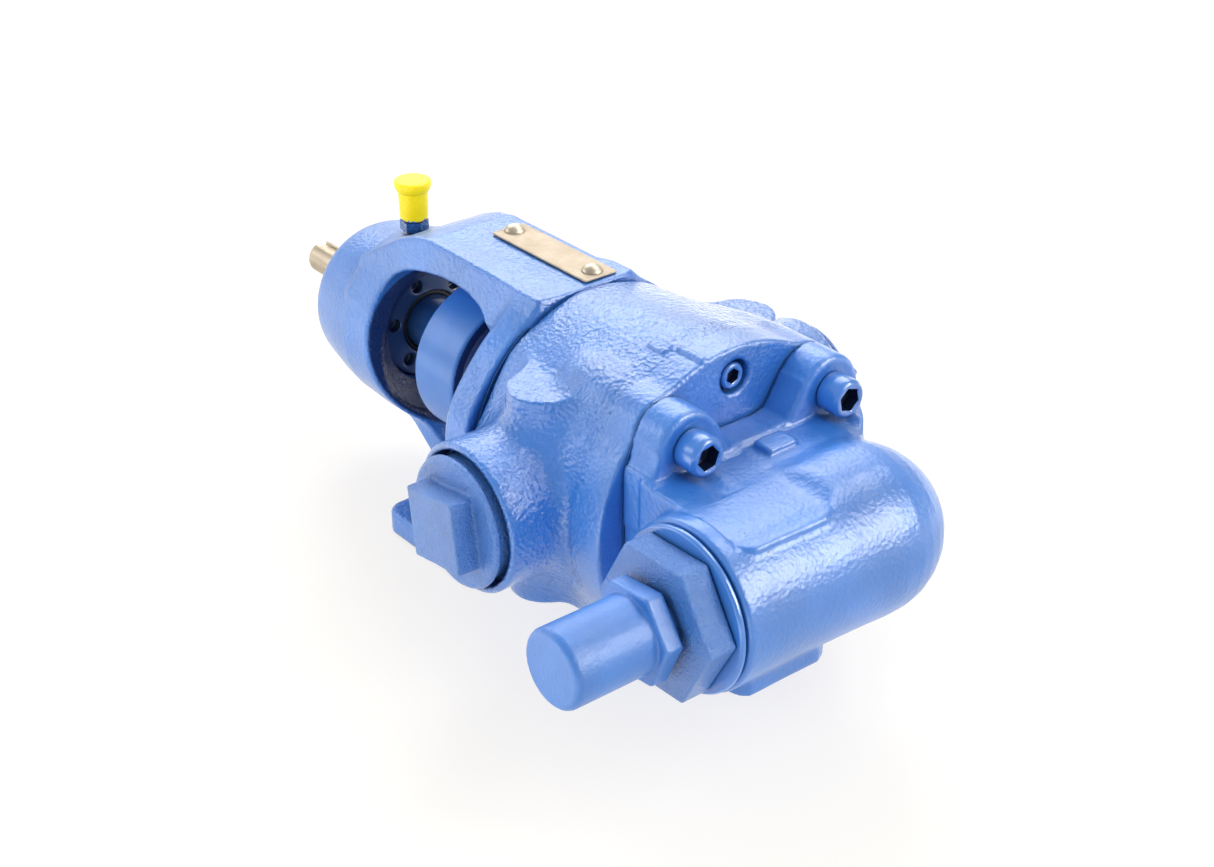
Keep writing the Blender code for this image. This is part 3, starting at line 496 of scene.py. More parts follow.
def radial_mask(nt, v, y0, y1, r0, r1):
    """1 inside a round bore on the shaft axis between stations y0 and y1."""
    sep = nt.nodes.new("ShaderNodeSeparateXYZ")
    nt.links.new(v, sep.inputs[0])
    dz = math_node(nt, "SUBTRACT", sep.outputs["Z"], SHAFT_H)
    r2 = math_node(nt, "ADD", math_node(nt, "MULTIPLY", sep.outputs["X"],
                                        sep.outputs["X"]),
                   math_node(nt, "MULTIPLY", dz, dz))
    rr = math_node(nt, "SQRT", r2, 0)
    inside = nt.nodes.new("ShaderNodeMapRange")
    inside.inputs["From Min"].default_value = r1
    inside.inputs["From Max"].default_value = r0
    nt.links.new(rr, inside.inputs["Value"])
    lo = math_node(nt, "GREATER_THAN", sep.outputs["Y"], y0 - FOOT_Y)
    hi = math_node(nt, "LESS_THAN", sep.outputs["Y"], y1 - FOOT_Y)
    return math_node(nt, "MULTIPLY", inside.outputs["Result"],
                     math_node(nt, "MULTIPLY", lo, hi))


def paint(name, peel=0.35, grain=0.15, rough=0.3, peel_size=0.75, tint=1.0,
          chips=0.0, bore_shade=None, floor_level=0.22, reach=7.0, coat=0.75,
         depth=1.0):
    """Thick blue enamel: slow colour drift, orange peel, fine casting grain,
    small chips where asked; painted shade in corners and crevices, and inside a bore where
    asked."""
    m, nt, b = nodes_of(name)
    v = coords(nt)
    drift = noise(nt, v, 0.035, 2.0)
    base = tuple(c * tint for c in BLUE)
    dark = tuple(c * 0.86 for c in base)
    light = tuple(min(1, c * 1.12 + 0.004) for c in base)
    col = ramp(nt, drift, [(0.3, dark), (0.72, light)])
    speck = noise(nt, v, 1.1, 4.0, 0.6)
    col = mix_col(nt, math_node(nt, "MULTIPLY", speck, 0.2), col,
                  tuple(c * 0.55 for c in base))
    # painted shade: enclosed corners and crevices are darkened towards a tenth of the base
    # colour
    shade = painted_crevice_shade(nt, reach, floor_level)
    col = mix_col(nt, math_node(nt, "SUBTRACT", 1.0, shade), col,
                  tuple(c * 0.1 for c in base))
    # painted shade: inside the given stretch of the shaft bore the paint turns deep navy
    if bore_shade:
        col = mix_col(nt, radial_mask(nt, v, *bore_shade), col,
                      (0.009, 0.032, 0.14))
    rg = math_node(nt, "ADD", math_node(nt, "MULTIPLY", noise(nt, v, 0.16, 3.0), 0.16),
                   rough - 0.08)
    if chips > 0:
        vo = nt.nodes.new("ShaderNodeTexVoronoi")
        vo.inputs["Scale"].default_value = 0.085
        vo.inputs["Randomness"].default_value = 1.0
        wob = nt.nodes.new("ShaderNodeVectorMath")
        wob.operation = "ADD"
        ns = nt.nodes.new("ShaderNodeTexNoise")
        ns.inputs["Scale"].default_value = 0.9
        ns.inputs["Detail"].default_value = 2.0
        nt.links.new(v, ns.inputs["Vector"])
        nt.links.new(v, wob.inputs[0])
        nt.links.new(ns.outputs["Color"], wob.inputs[1])
        nt.links.new(wob.outputs[0], vo.inputs["Vector"])
        hole = math_node(nt, "LESS_THAN", vo.outputs["Distance"], 0.030 * chips)
        col = mix_col(nt, hole, col, (0.03, 0.035, 0.05))
        rg = math_node(nt, "ADD", rg, math_node(nt, "MULTIPLY", hole, 0.4))
    nt.links.new(col, b.inputs["Base Color"])
    nt.links.new(rg, b.inputs["Roughness"])
    b.inputs["Specular IOR Level"].default_value = 0.6
    b.inputs["Coat Weight"].default_value = coat
    b.inputs["Coat Roughness"].default_value = 0.10
    # crinkled skin: sharp-edged cells a millimetre or so across, over a softer peel
    cell = nt.nodes.new("ShaderNodeTexVoronoi")
    cell.feature = "SMOOTH_F1"
    cell.inputs["Scale"].default_value = peel_size * 0.9
    cell.inputs["Smoothness"].default_value = 0.55
    warp = nt.nodes.new("ShaderNodeVectorMath")
    warp.operation = "ADD"
    wn = nt.nodes.new("ShaderNodeTexNoise")
    wn.inputs["Scale"].default_value = peel_size * 1.3
    nt.links.new(v, wn.inputs["Vector"])
    nt.links.new(v, warp.inputs[0])
    nt.links.new(wn.outputs["Color"], warp.inputs[1])
    nt.links.new(warp.outputs[0], cell.inputs["Vector"])
    n1 = bump(nt, cell.outputs["Distance"], peel, 0.30 * depth)
    n1 = bump(nt, noise(nt, v, peel_size * 0.55, 3.0, 0.55), peel * 0.9, 0.5 * depth, n1)
    n2 = bump(nt, noise(nt, v, 2.2, 3.0, 0.65), grain, 0.22 * depth, n1)
    n3 = bump(nt, noise(nt, v, 0.07, 1.0), 0.25, 1.2, n2)
    nt.links.new(n3, b.inputs["Normal"])
    nt.links.new(n3, b.inputs["Coat Normal"])
    return m


def metal(name, rgb, rough, streak=0.2, axis="y", brushed=True):
    m, nt, b = nodes_of(name)
    v = coords(nt)
    mp = nt.nodes.new("ShaderNodeMapping")
    s = {"x": (0.03, 1, 1), "y": (1, 0.03, 1), "z": (1, 1, 0.03),
         "round": (1, 1, 1)}[axis]
    mp.inputs["Scale"].default_value = s
    nt.links.new(v, mp.inputs["Vector"])
    fine = noise(nt, mp.outputs["Vector"], 3.0, 4.0, 0.7)
    slow = noise(nt, v, 0.12, 3.0)
    col = ramp(nt, slow, [(0.3, tuple(c * 0.8 for c in rgb)), (0.7, rgb)])
    col = mix_col(nt, math_node(nt, "MULTIPLY", fine, 0.3), col,
                  tuple(c * 0.55 for c in rgb))
    nt.links.new(col, b.inputs["Base Color"])
    b.inputs["Metallic"].default_value = 1.0
    nt.links.new(math_node(nt, "ADD", math_node(nt, "MULTIPLY", fine, 0.18), rough - 0.05),
                 b.inputs["Roughness"])
    nt.links.new(bump(nt, fine, streak, 0.05), b.inputs["Normal"])
    return m


def plain(name, rgb, rough, grain=0.2, size=1.2, spec=0.5, var=0.2):
    m, nt, b = nodes_of(name)
    v = coords(nt)
    f = noise(nt, v, size, 4.0, 0.6)
    nt.links.new(ramp(nt, f, [(0.3, tuple(c * (1 - var) for c in rgb)),
                              (0.7, tuple(min(1, c * (1 + var)) for c in rgb))]),
                 b.inputs["Base Color"])
    b.inputs["Roughness"].default_value = rough
    b.inputs["Specular IOR Level"].default_value = spec
    nt.links.new(bump(nt, f, grain, 0.12), b.inputs["Normal"])
    return m


PAINT_CROWN = paint("paint_cast_coarse", peel=1.0, grain=0.4, rough=0.21, depth=1.15,
                    floor_level=0.35)
# painted shade on the cavity walls inside the bracket, deep navy
PAINT_BRACKET = paint("paint_bracket", peel=0.75, grain=0.35, rough=0.33, coat=0.55,
                      bore_shade=(97.5, 179, 35.7, 36.9))
PAINT_CAST = paint("paint_cast", peel=0.5, grain=0.35, rough=0.32, floor_level=0.75,
                   depth=1.3)
PAINT_VALVE = paint("paint_valve", peel=0.32, grain=0.25, rough=0.37, chips=1.0,
                    floor_level=0.7, depth=1.2, coat=0.5)
PAINT_HEX = paint("paint_hexagon", peel=0.8, grain=1.0, rough=0.36, peel_size=1.3,
                  floor_level=0.45, depth=1.5)
PAINT_CAP = paint("paint_cap", peel=0.3, grain=0.6, rough=0.42, floor_level=0.5,
                  coat=0.3)
PAINT_SEAM = paint("paint_seam", peel=0.2, grain=0.4, rough=0.5, tint=0.45,
                   floor_level=0.6, coat=0.1)
PAINT_PLUG = paint("paint_plug", peel=0.5, grain=0.6, rough=0.38, floor_level=0.45)
PAINT_SMOOTH = paint("paint_smooth", peel=0.08, grain=0.12, rough=0.3)
# painted shade inside the neck of the seal housing, deep navy
PAINT_HOUSING = paint("paint_housing", peel=0.04, grain=0.12, rough=0.42, tint=0.95, coat=0.2,
                      bore_shade=(90, 122.9, 30, 40))
# painted shade: the inner bearing cap and spacer sleeve, deep in the bracket window, get
# darkened copies of the blue paint
PAINT_INNER_SHADED = paint("paint_inner_shaded", peel=0.05, grain=0.15, rough=0.45, tint=0.26)
PAINT_SLEEVE_SHADED = paint("paint_sleeve_shaded", peel=0.05, grain=0.1, rough=0.35, tint=0.5)
PAINT_BLOB = paint("paint_blob", peel=0.9, grain=0.4, rough=0.25, tint=0.6)
# painted shade: the insides of the screw sockets are near black for the shade in the holes
SOCKET_SHADE = plain("socket_shade", (0.006, 0.014, 0.05), 0.3, 0.3, 1.0)
STEEL = metal("bare_steel", (0.50, 0.43, 0.33), 0.4, 0.3, "y")
STEEL_X = metal("steel_turned_x", (0.6, 0.58, 0.55), 0.33, 0.2, "round")
IRON = metal("machined_iron", (0.33, 0.33, 0.34), 0.45, 0.3, "round")
BRONZE = metal("bearing_bronze", (0.68, 0.46, 0.22), 0.36, 0.2, "round")
NICKEL = metal("nickel_screw", (0.60, 0.53, 0.42), 0.4, 0.1, "round")
CARBON = plain("seal_carbon", (0.035, 0.035, 0.04), 0.45)
RUBBER = plain("seal_rubber", (0.014, 0.014, 0.017), 0.55, 0.3, 0.8, 0.4)
GASKET = plain("gasket_sheet", (0.02, 0.03, 0.06), 0.85, 0.5, 0.9, 0.3)


def yellow_cap_material():
    """Glossy yellow with blue paint smeared round its lower edge, and a faint painted glow.
    """
    m, nt, b = nodes_of("yellow_plastic")
    v = coords(nt)
    sep = nt.nodes.new("ShaderNodeSeparateXYZ")
    nt.links.new(v, sep.inputs[0])
    zmm = sep.outputs["Z"]
    f = noise(nt, v, 0.25, 3.0, 0.6)
    edge = math_node(nt, "ADD", math_node(nt, "MULTIPLY", f, 9.0), 63 + 42.8 - 4.0)
    low = math_node(nt, "LESS_THAN", zmm, edge)
    soft = noise(nt, v, 0.8, 2.0)
    yel = ramp(nt, soft, [(0.3, (0.95, 0.70, 0.002)), (0.7, (1.0, 0.80, 0.004))])
    col = mix_col(nt, low, yel, (0.14, 0.24, 0.5))
    nt.links.new(col, b.inputs["Base Color"])
    b.inputs["Roughness"].default_value = 0.34
    b.inputs["Specular IOR Level"].default_value = 0.3
    # painted light: the cap glows a little in its own colour, as if lit through its thin
    # moulding
    nt.links.new(col, b.inputs["Emission Color"])
    b.inputs["Emission Strength"].default_value = 0.22
    nt.links.new(bump(nt, noise(nt, v, 0.5, 2.0), 0.08, 0.3), b.inputs["Normal"])
    return m


def plate_material():
    """Dull stamped metal, warm grey, scratched along its length."""
    m, nt, b = nodes_of("nameplate_metal")
    v = coords(nt)
    mp = nt.nodes.new("ShaderNodeMapping")
    mp.inputs["Scale"].default_value = (1, 0.06, 1)
    nt.links.new(v, mp.inputs["Vector"])
    fine = noise(nt, mp.outputs["Vector"], 2.4, 4.0, 0.7)
    slow = noise(nt, v, 0.11, 3.0, 0.6)
    col = ramp(nt, slow, [(0.3, (0.50, 0.40, 0.29)), (0.7, (0.66, 0.57, 0.45))])
    col = mix_col(nt, math_node(nt, "MULTIPLY", fine, 0.35), col, (0.42, 0.34, 0.25))
    nt.links.new(col, b.inputs["Base Color"])
    b.inputs["Metallic"].default_value = 0.25
    b.inputs["Specular IOR Level"].default_value = 0.35
    nt.links.new(math_node(nt, "ADD", math_node(nt, "MULTIPLY", fine, 0.2), 0.5),
                 b.inputs["Roughness"])
    nt.links.new(bump(nt, fine, 0.2, 0.06), b.inputs["Normal"])
    return m


YELLOW = yellow_cap_material()
PLATE = plate_material()

ROOT = "pump_housing"


# ==================================================================== bracket
def smooth_loop(knots, per=2):
    n = len(knots)
    out = []
    for i in range(n):
        p = [np.array(knots[(i + k - 1) % n], float) for k in range(4)]
        for j in range(per):
            t = j / per
            q = 0.5 * (2 * p[1] + (p[2] - p[0]) * t
                       + (2 * p[0] - 5 * p[1] + 4 * p[2] - p[3]) * t * t
                       + (3 * p[1] - p[0] - 3 * p[2] + p[3]) * t ** 3)
            out.append((q[0], q[1]))
    return out


WINDOW = smooth_loop([(174.5, 17), (171.5, 29), (162, 37), (146, 41.5), (128, 43),
                      (113, 40), (102, 30), (94.5, 15), (92, 0), (94.5, -16),
                      (104, -31.5), (121, -40.2), (142, -41.6), (158, -36.5),
                      (167, -25.5), (171.5, -10), (174, 4)], 2)
BACK_SCREWS = [(46.3 * math.cos(math.radians(a)), 46.3 * math.sin(math.radians(a)))
               for a in (45, 135, 225, 315)]
SEAL_SCREWS = [(21.8 * math.cos(math.radians(a)), 21.8 * math.sin(math.radians(a)))
               for a in (90, 210, 330)]


def step(t):
    t = np.clip(t, 0, 1)
    return t * t * (3 - 2 * t)


def bracket_field(p):
    x, y, z = p
    rad = np.hypot(x, z)
    # the flange spreads a little where it meets the port necks
    spread = 2.6 * step((34 - np.abs(z)) / 22) * step((104 - y) / 9)
    hub_pts = [
        (-60, HUB_END), (28.2, HUB_END), (29.7, 222.0), (30.9, 221.2), (31.8, 219.8),
        (32.5, 217.8), (33.2, 214.6), (34.0, 210), (35.4, 202), (36.8, 192), (37.6, 176), (37.2, 160), (37.4, 126), (40.5, 109), (46, 98.5),
        (51.0, 94.2), (54.0, 92.0), (55.0, 90.0), (55.0, 79.2), (54.4, 78.5),
        (-60, 78.5)]
    hub = polygon(rad - spread, y, hub_pts)
    # bridge: flat top, side faces leaning out towards the windows
    top = polygon(y, z, [(78.9, 20), (78.9, 54.0), (149, 54.0), (158, 52.2),
                         (168, 48.2), (180, 41.2), (192, 33.5), (192, 20)])
    drop = 0.20 * (54 - z)
    bridge = smax(top, -(x + 22.9) - drop, 1.6)
    bridge = smax(bridge, (x - 20.6) - drop, 5.5)
    d = smin(hub, bridge, 7.0)
    web = slab(polygon(y, z, [(78.9, -25), (192, -25), (189, -29.5), (178, -36.2),
                              (164, -46.0), (150, -56.6), (92, -57), (78.9, -50)]),
               x, -17, 17, 2.5)
    d = smin(d, web, 4.5)
    foot = slab(slab(np.abs(x) - 50.4, y, 92, 146.2, 7), z, -63, -53.0, 1.4)
    d = smin(d, foot, 5.0)
    # machined flat for the nameplate
    d = smax(d, z - 54.05, 0.5)
    # pilot into the casing and the bushing bore
    d = np.minimum(d, rod(p, "y", (0, 0), 63.6, 80, CHAMBER_R - 0.3, 0.6))
    cavity = lathe(p, "y", (0, 0), [
        (0, 230), (24.3, 230), (24.3, 201.2), (20.3, 201.2), (20.3, 187.6),
        (24.3, 187.6), (24.3, 178), (34.0, 170), (34.0, 98.8), (13.1, 98.8),
        (13.1, 60), (0, 60)])
    d = smax(d, -cavity, 0.5)
    win = polygon(y, z, WINDOW)
    # the windows are cut through with softened edges
    d = smax(d, -win, 1.5)
    for bx, bz in BACK_SCREWS:
        d = smax(d, -rod(p, "y", (bx, bz), 86, 112, 6.4), 0.6)
        d = np.maximum(d, -rod(p, "y", (bx, bz), 70, 90, 3.4))
    for sx, sz in SEAL_SCREWS:
        d = np.maximum(d, -rod(p, "y", (sx, sz), 84, 110, 2.8))
    for fx, fy in ((-39, 103), (39, 103), (-39, 135), (39, 135)):
        d = smax(d, -rod(p, "z", (fx, fy), -70, -40, 5.2), 0.8)
    # spot face and thread for the grease fitting
    d = smax(d, -rod(p, "z", (0, GREASE_Y), 37.2, 60, 7.4), 0.8)
    d = smax(d, -rod(p, "z", (0, GREASE_Y), 18, 60, 3.4), 0.5)
    for px, py in PLATE_PINS:
        d = np.maximum(d, -rod(p, "z", (px, py), 45, 60, 1.6))
    return d + rolling(p, 24, 0.14, 3)


surface("cast_bracket", bracket_field, (-59, 62, -64), (59, 224, 56), 1.0, ROOT,
        PAINT_BRACKET, ["bracket"])


# ===================================================================== casing
def ear_ring(x, z, k=3.0):
    """Round outline with four ear lobes, shared by head and casing."""
    d = np.hypot(x, z) - HEAD_R
    lobe = np.hypot(np.abs(x) - EAR_X, np.abs(z) - EAR_Z) - EAR_R
    return smin(d, lobe, k)


def crown_marks(p, d):
    """Raised pad and rib cast on top, following the round of the casting."""
    x, y, z = p
    rise = np.hypot(x, z) - 60.0
    pad = np.maximum(slab(np.abs(x + 16.2) - 2.8, y, 15.6, 24.4, 0.9), rise + 0.1)
    rib = np.maximum(slab(np.abs(x + 13.5) - 1.15, y, 0.5, 14.0, 0.5), rise)
    marks = np.maximum(np.minimum(pad, rib), 50 - z)
    return smin(d, marks, 0.35)


def casing_skin(p):
    x, y, z = p
    rad = np.hypot(x, z)
    spread = 2.4 * step((26 - np.abs(z)) / 18) * step((y - 56) / 14)
    body = polygon(rad - spread, y, [
        (-60, 77.4), (50.6, 77.4), (52.6, 77.0), (54.0, 75.6), (54.9, 73.0),
        (57.0, 50), (58.6, 28), (59.0, 20), (59.0, 12.0), (-60, 12.0)])
    # a smooth band next to the head, a touch proud of the port necks
    ax = np.abs(x)
    d = body + 0.8 * step((ax - 36) / 8) * step((y - 14.2) / 3.4)
    kn = F32(0.6) + (4.4 * step((y - 13.0) / 3) + 3.0 * step((y - 17) / 9)).astype(F32)
    for sx in (-1, 1):
        neck = rod(p, "x", (PORT_Y, 0), sx * 30, sx * PORT_X, 27.0, 1.5)
        neck = smax(neck, 16.6 - y, 6.0)
        h = np.clip(0.5 + 0.5 * (neck - d) / kn, 0, 1)
        d = neck + (d - neck) * h - kn * h * (1 - h)
    # gauge bosses: top dished up onto the barrel, sides flaring out into the body
    plan = slab(np.hypot(np.maximum(np.abs(ax - 38) - 8, 0), y - PORT_Y) - 12.8,
                np.abs(z), 5, 60, 0.0)
    flare = smin(d, plan, 11.0)
    lid = 40.5 + 0.009 * np.clip(50 - ax, 0, 22) ** 2
    flare = smax(flare, (np.abs(z) - lid) * 0.92, 0.7)
    kf = F32(0.02) + 1.7 * step((y - 16) / 5).astype(F32)
    h = np.clip(0.5 + 0.5 * (flare - d) / kf, 0, 1)
    d = flare + (d - flare) * h - kf * h * (1 - h)
    # ear lobes, blended harder the further they run back from the head
    k = F32(3.0) + np.clip((y - 14) * 0.3, 0, 5).astype(F32)
    az = np.abs(z)
    lobe = polygon(np.hypot(ax - EAR_X, az - EAR_Z), y, [
        (-60, 12.0), (12.8, 12.0), (12.8, 20), (10.6, 33), (8.0, 43), (-60, 50)])
    h = np.clip(0.5 + 0.5 * (lobe - d) / k, 0, 1)
    d = lobe + (d - lobe) * h - k * h * (1 - h)
    d = crown_marks(p, d)
    return d + rolling(p, 22, 0.16, 7) * step((y - 13) / 6)


def casing_field(p):
    x, y, z = p
    d = casing_skin(p)
    d = smax(d, -rod(p, "y", (0, 0), 5, 90, CHAMBER_R), 0.4)
    for sx in (-1, 1):
        port = lathe([sx * x, y, z], "x", (PORT_Y, 0), [
            (0, PORT_X + 5), (25.4, PORT_X + 5), (24.9, PORT_X), (24.7, PORT_X - 7.0),
            (23.2, PORT_X - 8.0), (23.2, 61), (18.5, 60), (18.5, 20), (0, 20)])
        d = smax(d, -port, 0.8)
    for ex, ez in EARS:
        d = np.maximum(d, -rod(p, "y", (ex, ez), 8, 33, 5.0))
    for hz in (47.8, -47.8):
        d = np.maximum(d, -rod(p, "y", (0, hz), 8, 29, 3.2))
    for bx, bz in BACK_SCREWS:
        d = np.maximum(d, -rod(p, "y", (bx, bz), 64, 90, 3.3))
    return np.maximum(d, 12.70 - y)


surface("cast_casing", casing_field, (-81, 12, -62), (81, 78, 62), 1.0, ROOT,
        PAINT_CROWN, ["casing"], crisp=(1, 12.70, casing_skin))


# ======================================================================= head
def head_field(p):
    x, y, z = p
    d = slab(ear_ring(x, z), y, 0, 12.70 + 4, 0.9)
    d = crown_marks(p, d)
    d = np.maximum(d, y - 12.70)
    # crescent between idler and rotor
    outer = np.hypot(x, z) - 26.1
    inner = np.hypot(x, z - 7.5) - 26.5
    wedge = z + np.abs(x) * 0.45
    cres = slab(np.maximum(np.maximum(outer, -inner), wedge), y, 11, 51.4, 0.3)
    d = np.minimum(d, cres)
    for hz in (47.8, -47.8):
        d = smax(d, -rod(p, "y", (0, hz), -3, 7.0, 6.5), 0.5)
        d = np.maximum(d, -rod(p, "y", (0, hz), -5, 20, 3.2))
    for ex, ez in EARS:
        d = np.maximum(d, -rod(p, "y", (ex, ez), -5, 20, 5.0))
    d = np.maximum(d, -rod(p, "y", (0, 7.5), 2.0, 20, 7.3))
    for hx in (-23.5, 23.5):
        d = np.maximum(d, -rod(p, "y", (hx, 9), -5, 20, 6.0))
    return d


surface("pump_head", head_field, (-62, -1, -62), (62, 52, 62), 0.95, ROOT,
        PAINT_CAST, ["head"],
        crisp=(1, 12.70, lambda p: crown_marks(p, ear_ring(p[0], p[2]))))


# ================================================================= relief valve
def valve_field(p):
    x, y, z = p
    # barrel and round end in one sweep
    pts = [(-60, -59.3), (28.4, -59.3), (29.2, -58.8), (29.5, -57.8), (29.5, -20),
           (30.0, 0), (30.5, 10)]
    pts += [(30.5 * math.sin(math.radians(a)), 14.3 + 30.5 * math.cos(math.radians(a)))
            for a in (85, 75, 65, 55, 45, 35, 25, 15, 7)]
    pts += [(-60, 44.8)]
    d = polygon(np.hypot(y - VALVE_Y, z - VALVE_Z), x, pts)
    # flange with its four ears and dipped top and bottom edges
    ax, az = np.abs(x), np.abs(z)
    plate2 = np.maximum(ax - 48.6, az - 31.0)
    out2 = smin(plate2, np.hypot(ax - EAR_X, az - EAR_Z) - EAR_R, 5.0)
    fillet = polygon(ax, az, [(0, 10), (48.6, 10), (48.6, 26), (44.8, 40), (20.5, 44),
                              (13.0, 32.5), (8.5, 30.6), (0, 30.4)])
    out2 = smin(out2, fillet, 2.0)
    flange = slab(out2, y, -14.2, 4, 1.9)
    d = smin(d, flange, 4.5)
    neck = slab(polygon(x, y, [(-50.2, -10), (-50.8, -30), (-51.5, -57.5),
                               (-50.2, -61.0), (-47.6, -63.2), (-17.5, -63.6),
                               (-13.4, -61.6), (-10.4, -52.5), (-8.6, -45.0),
                               (0, -47), (12, -48), (30, -33), (40, -23),
                               (48.4, -12), (48.4, -10)]),
                z, -26.5, 30.1, 1.0)
    d = smin(d, neck, 1.5)
    # writing pad, flat, running up onto the barrel's crown to the right
    level = 30.05 + 3.6 * step((x + 13.8) / 11)
    mill = np.minimum(z - level, np.minimum(-17.0 - y, x + 52.2))
    d = smax(d, mill, 1.6)
    sq = block(p, (-6.0, -24.8, 26), (7.2, -16.4, 32.5), 0.4)
    d = smin(d, sq, 0.4)
    for ex, ez in EARS:
        spot = rod(p, "y", (ex, ez), -34, -13.9, 9.3)
        d = smax(d, -spot, 1.0)
        d = np.maximum(d, -rod(p, "y", (ex, ez), -30, 5, 5.0))
    bore = lathe(p, "x", (VALVE_Y, VALVE_Z), [
        (0, 37), (13, 37), (13, 26.6), (9.0, 26.6), (9.0, 20.3), (15.2, 20.3),
        (15.2, -45.5), (20.3, -46.5), (20.3, -66), (0, -66)])
    d = smax(d, -bore, 0.4)
    for lo, hi in (((-32, -40, 1), (-18, 4, 16)), ((28, -44, -1), (34, 4, 15)),
                   ((17.5, -9, 1), (30, 4, 15))):
        d = np.maximum(d, -block(p, lo, hi, 0.5))
    d = d + rolling(p, 30, 0.09, 11)
    return np.maximum(d, y + 0.67)


surface("relief_valve_body", valve_field, (-61, -77, -52), (50, 0, 52), 0.95, ROOT,
        PAINT_VALVE, ["valve_body"])


# ======================================================== seal housing and caps
def housing_field(p):
    d = lathe(p, "y", (0, 0), [
        (0, 148.3), (31.2, 148.3), (32.0, 147.4), (32.0, 123.6), (31.2, 122.8),
        (27.4, 122.8), (27.4, 99.1), (0, 99.1)])
    d = smax(d, -lathe(p, "y", (0, 0), [
        (0, 155), (10.4, 155), (10.4, 140.8), (16.4, 140.8), (16.4, 90), (0, 90)]), 0.4)
    for sx, sz in SEAL_SCREWS:
        d = np.maximum(d, -rod(p, "y", (sx, sz), 90, 155, 2.8))
        d = smax(d, -rod(p, "y", (sx, sz), 142.5, 155, 4.6), 0.4)
    return d


surface("seal_housing_turned", housing_field, (-33, 98, -33), (33, 149, 33), 0.8, ROOT,
        PAINT_HOUSING, ["seal_housing"])


def inner_cap_field(p):
    d = lathe(p, "y", (0, 0), [
        (0, 187.2), (23.4, 187.2), (24.0, 186.6), (24.0, 182.9), (23.4, 182.3),
        (0, 182.3)])
    d = smax(d, -rod(p, "y", (0, 0), 170, 195, 13.7), 0.3)
    for i in range(6):
        a = math.radians(10 + 60 * i)
        d = smax(d, -rod(p, "y", (18.3 * math.cos(a), -18.3 * math.sin(a)), 176, 186.2,
                         2.7), 0.35)
    return d


surface("bearing_inner_cap_turned", inner_cap_field, (-25, 181, -25), (25, 188, 25),
        0.55, ROOT, PAINT_INNER_SHADED, ["bearing_inner_cap"])


def outer_cap_field(p):
    d = lathe(p, "y", (0, 0), [
        (0, 217.5), (23.2, 217.5), (24.0, 216.7), (24.0, 209.6), (23.4, 209.0),
        (0, 209.0)])
    d = smax(d, -rod(p, "y", (0, 0), 170, 225, 13.7), 0.3)
    for i in range(4):
        a = math.pi / 2 * i
        d = smax(d, -rod(p, "y", (18.6 * math.cos(a), 18.6 * math.sin(a)), 212.5, 222,
                         2.7), 0.35)
    return d


surface("bearing_outer_cap_turned", outer_cap_field, (-25, 208, -25), (25, 218.5, 25),
        0.6, ROOT, PAINT_SMOOTH, ["bearing_outer_cap"])


def shaft_field(p):
    x, y, z = p
    d = lathe(p, "y", (0, 0), [
        (0, 268), (6.1, 268), (7.0, 267.1), (7.0, 224), (7.9, 223), (7.9, 209),
        (8.2, 208.6), (8.2, 187.9), (9.4, 187.5), (9.4, 64.0), (9.0, 63.6),
        (9.0, 53.0), (0, 53.0)])
    d = smax(d, -block(p, (-2.3, 50, 6.3), (2.3, 62.6, 12), 0.0), 0.2)
    # round-ended keyway for the coupling
    u = np.hypot(x, np.maximum(246.6 - y, 0)) - 2.4
    slot = np.maximum(u, 4.6 - z)
    return smax(d, -slot, 0.25)


surface("drive_shaft_ground", shaft_field, (-10, 52, -10), (10, 269, 10), 0.62,
        "shaft_and_rotor", STEEL, ["drive_shaft"])

rings("bearing_spacer_sleeve", bend([(9.75, 156.0), (11.8, 156.0), (11.8, 187.4),
                                     (9.75, 187.4)], 0.5), "y", (0, 0),
      "shaft_and_rotor", PAINT_SLEEVE_SHADED, ["bearing_spacer"], close=True)
rings("inner_lip_seal_ring", bend([(12.2, 182.8), (13.4, 182.8), (13.4, 187.0),
                                   (12.6, 187.0), (11.95, 184.4)], 0.2), "y", (0, 0),
      ROOT, RUBBER, ["inner_lip_seal"], close=True)
rings("outer_lip_seal_ring", bend([(8.2, 209.6), (13.4, 209.6), (13.4, 216.4),
                                   (10.4, 216.4), (9.6, 215.4), (8.2, 214.4)], 0.3),
      "y", (0, 0), ROOT, RUBBER, ["outer_lip_seal"], close=True)


# ==================================================================== gaskets
rings("head_gasket_sheet", [(39.7, 12.3), (57.6, 12.3), (57.6, 12.7), (39.7, 12.7)],
      "y", (0, 0), ROOT, PAINT_SEAM, ["head_gasket"], close=True)
rings("bracket_gasket_sheet", [(39.7, 77.7), (53.4, 77.7), (53.4, 78.2), (39.7, 78.2)],
      "y", (0, 0), ROOT, PAINT_SEAM, ["bracket_gasket"], close=True)


# ===================================================================== screws
def socket_screw(name, at, top, r, hh, shank_r, shank_l, af, depth, sign=1, rot=15.0,
                 replaces=None, n=72, mat=None):
    """Socket-head cap screw; the head's face is at top, the shank runs on
    towards sign * Y."""
    s = sign
    seat = top + s * hh
    end = seat + s * shank_l
    hx = hexagon(af, rot, 1.0)
    rim = af / math.sqrt(3) + 0.55
    prof = bend([(0, end), (shank_r, end), (shank_r, seat), (r, seat),
                 (r, top + s * r * 0.16), (r - r * 0.16, top), (rim, top)], 0.5)
    prof += [(rim - 0.3, top + s * 0.05), (hx, top + s * 0.35), (hx, top + s * depth),
             (0, top + s * (depth + af * 0.12))]
    # the socket's walls and bottom take the painted-shade material
    dark = len(prof) - 3
    return rings(name, prof, "y", at, ROOT, [mat or PAINT_SMOOTH, SOCKET_SHADE],
                 [replaces or name], n=n, rot=rot, dark_from=dark)


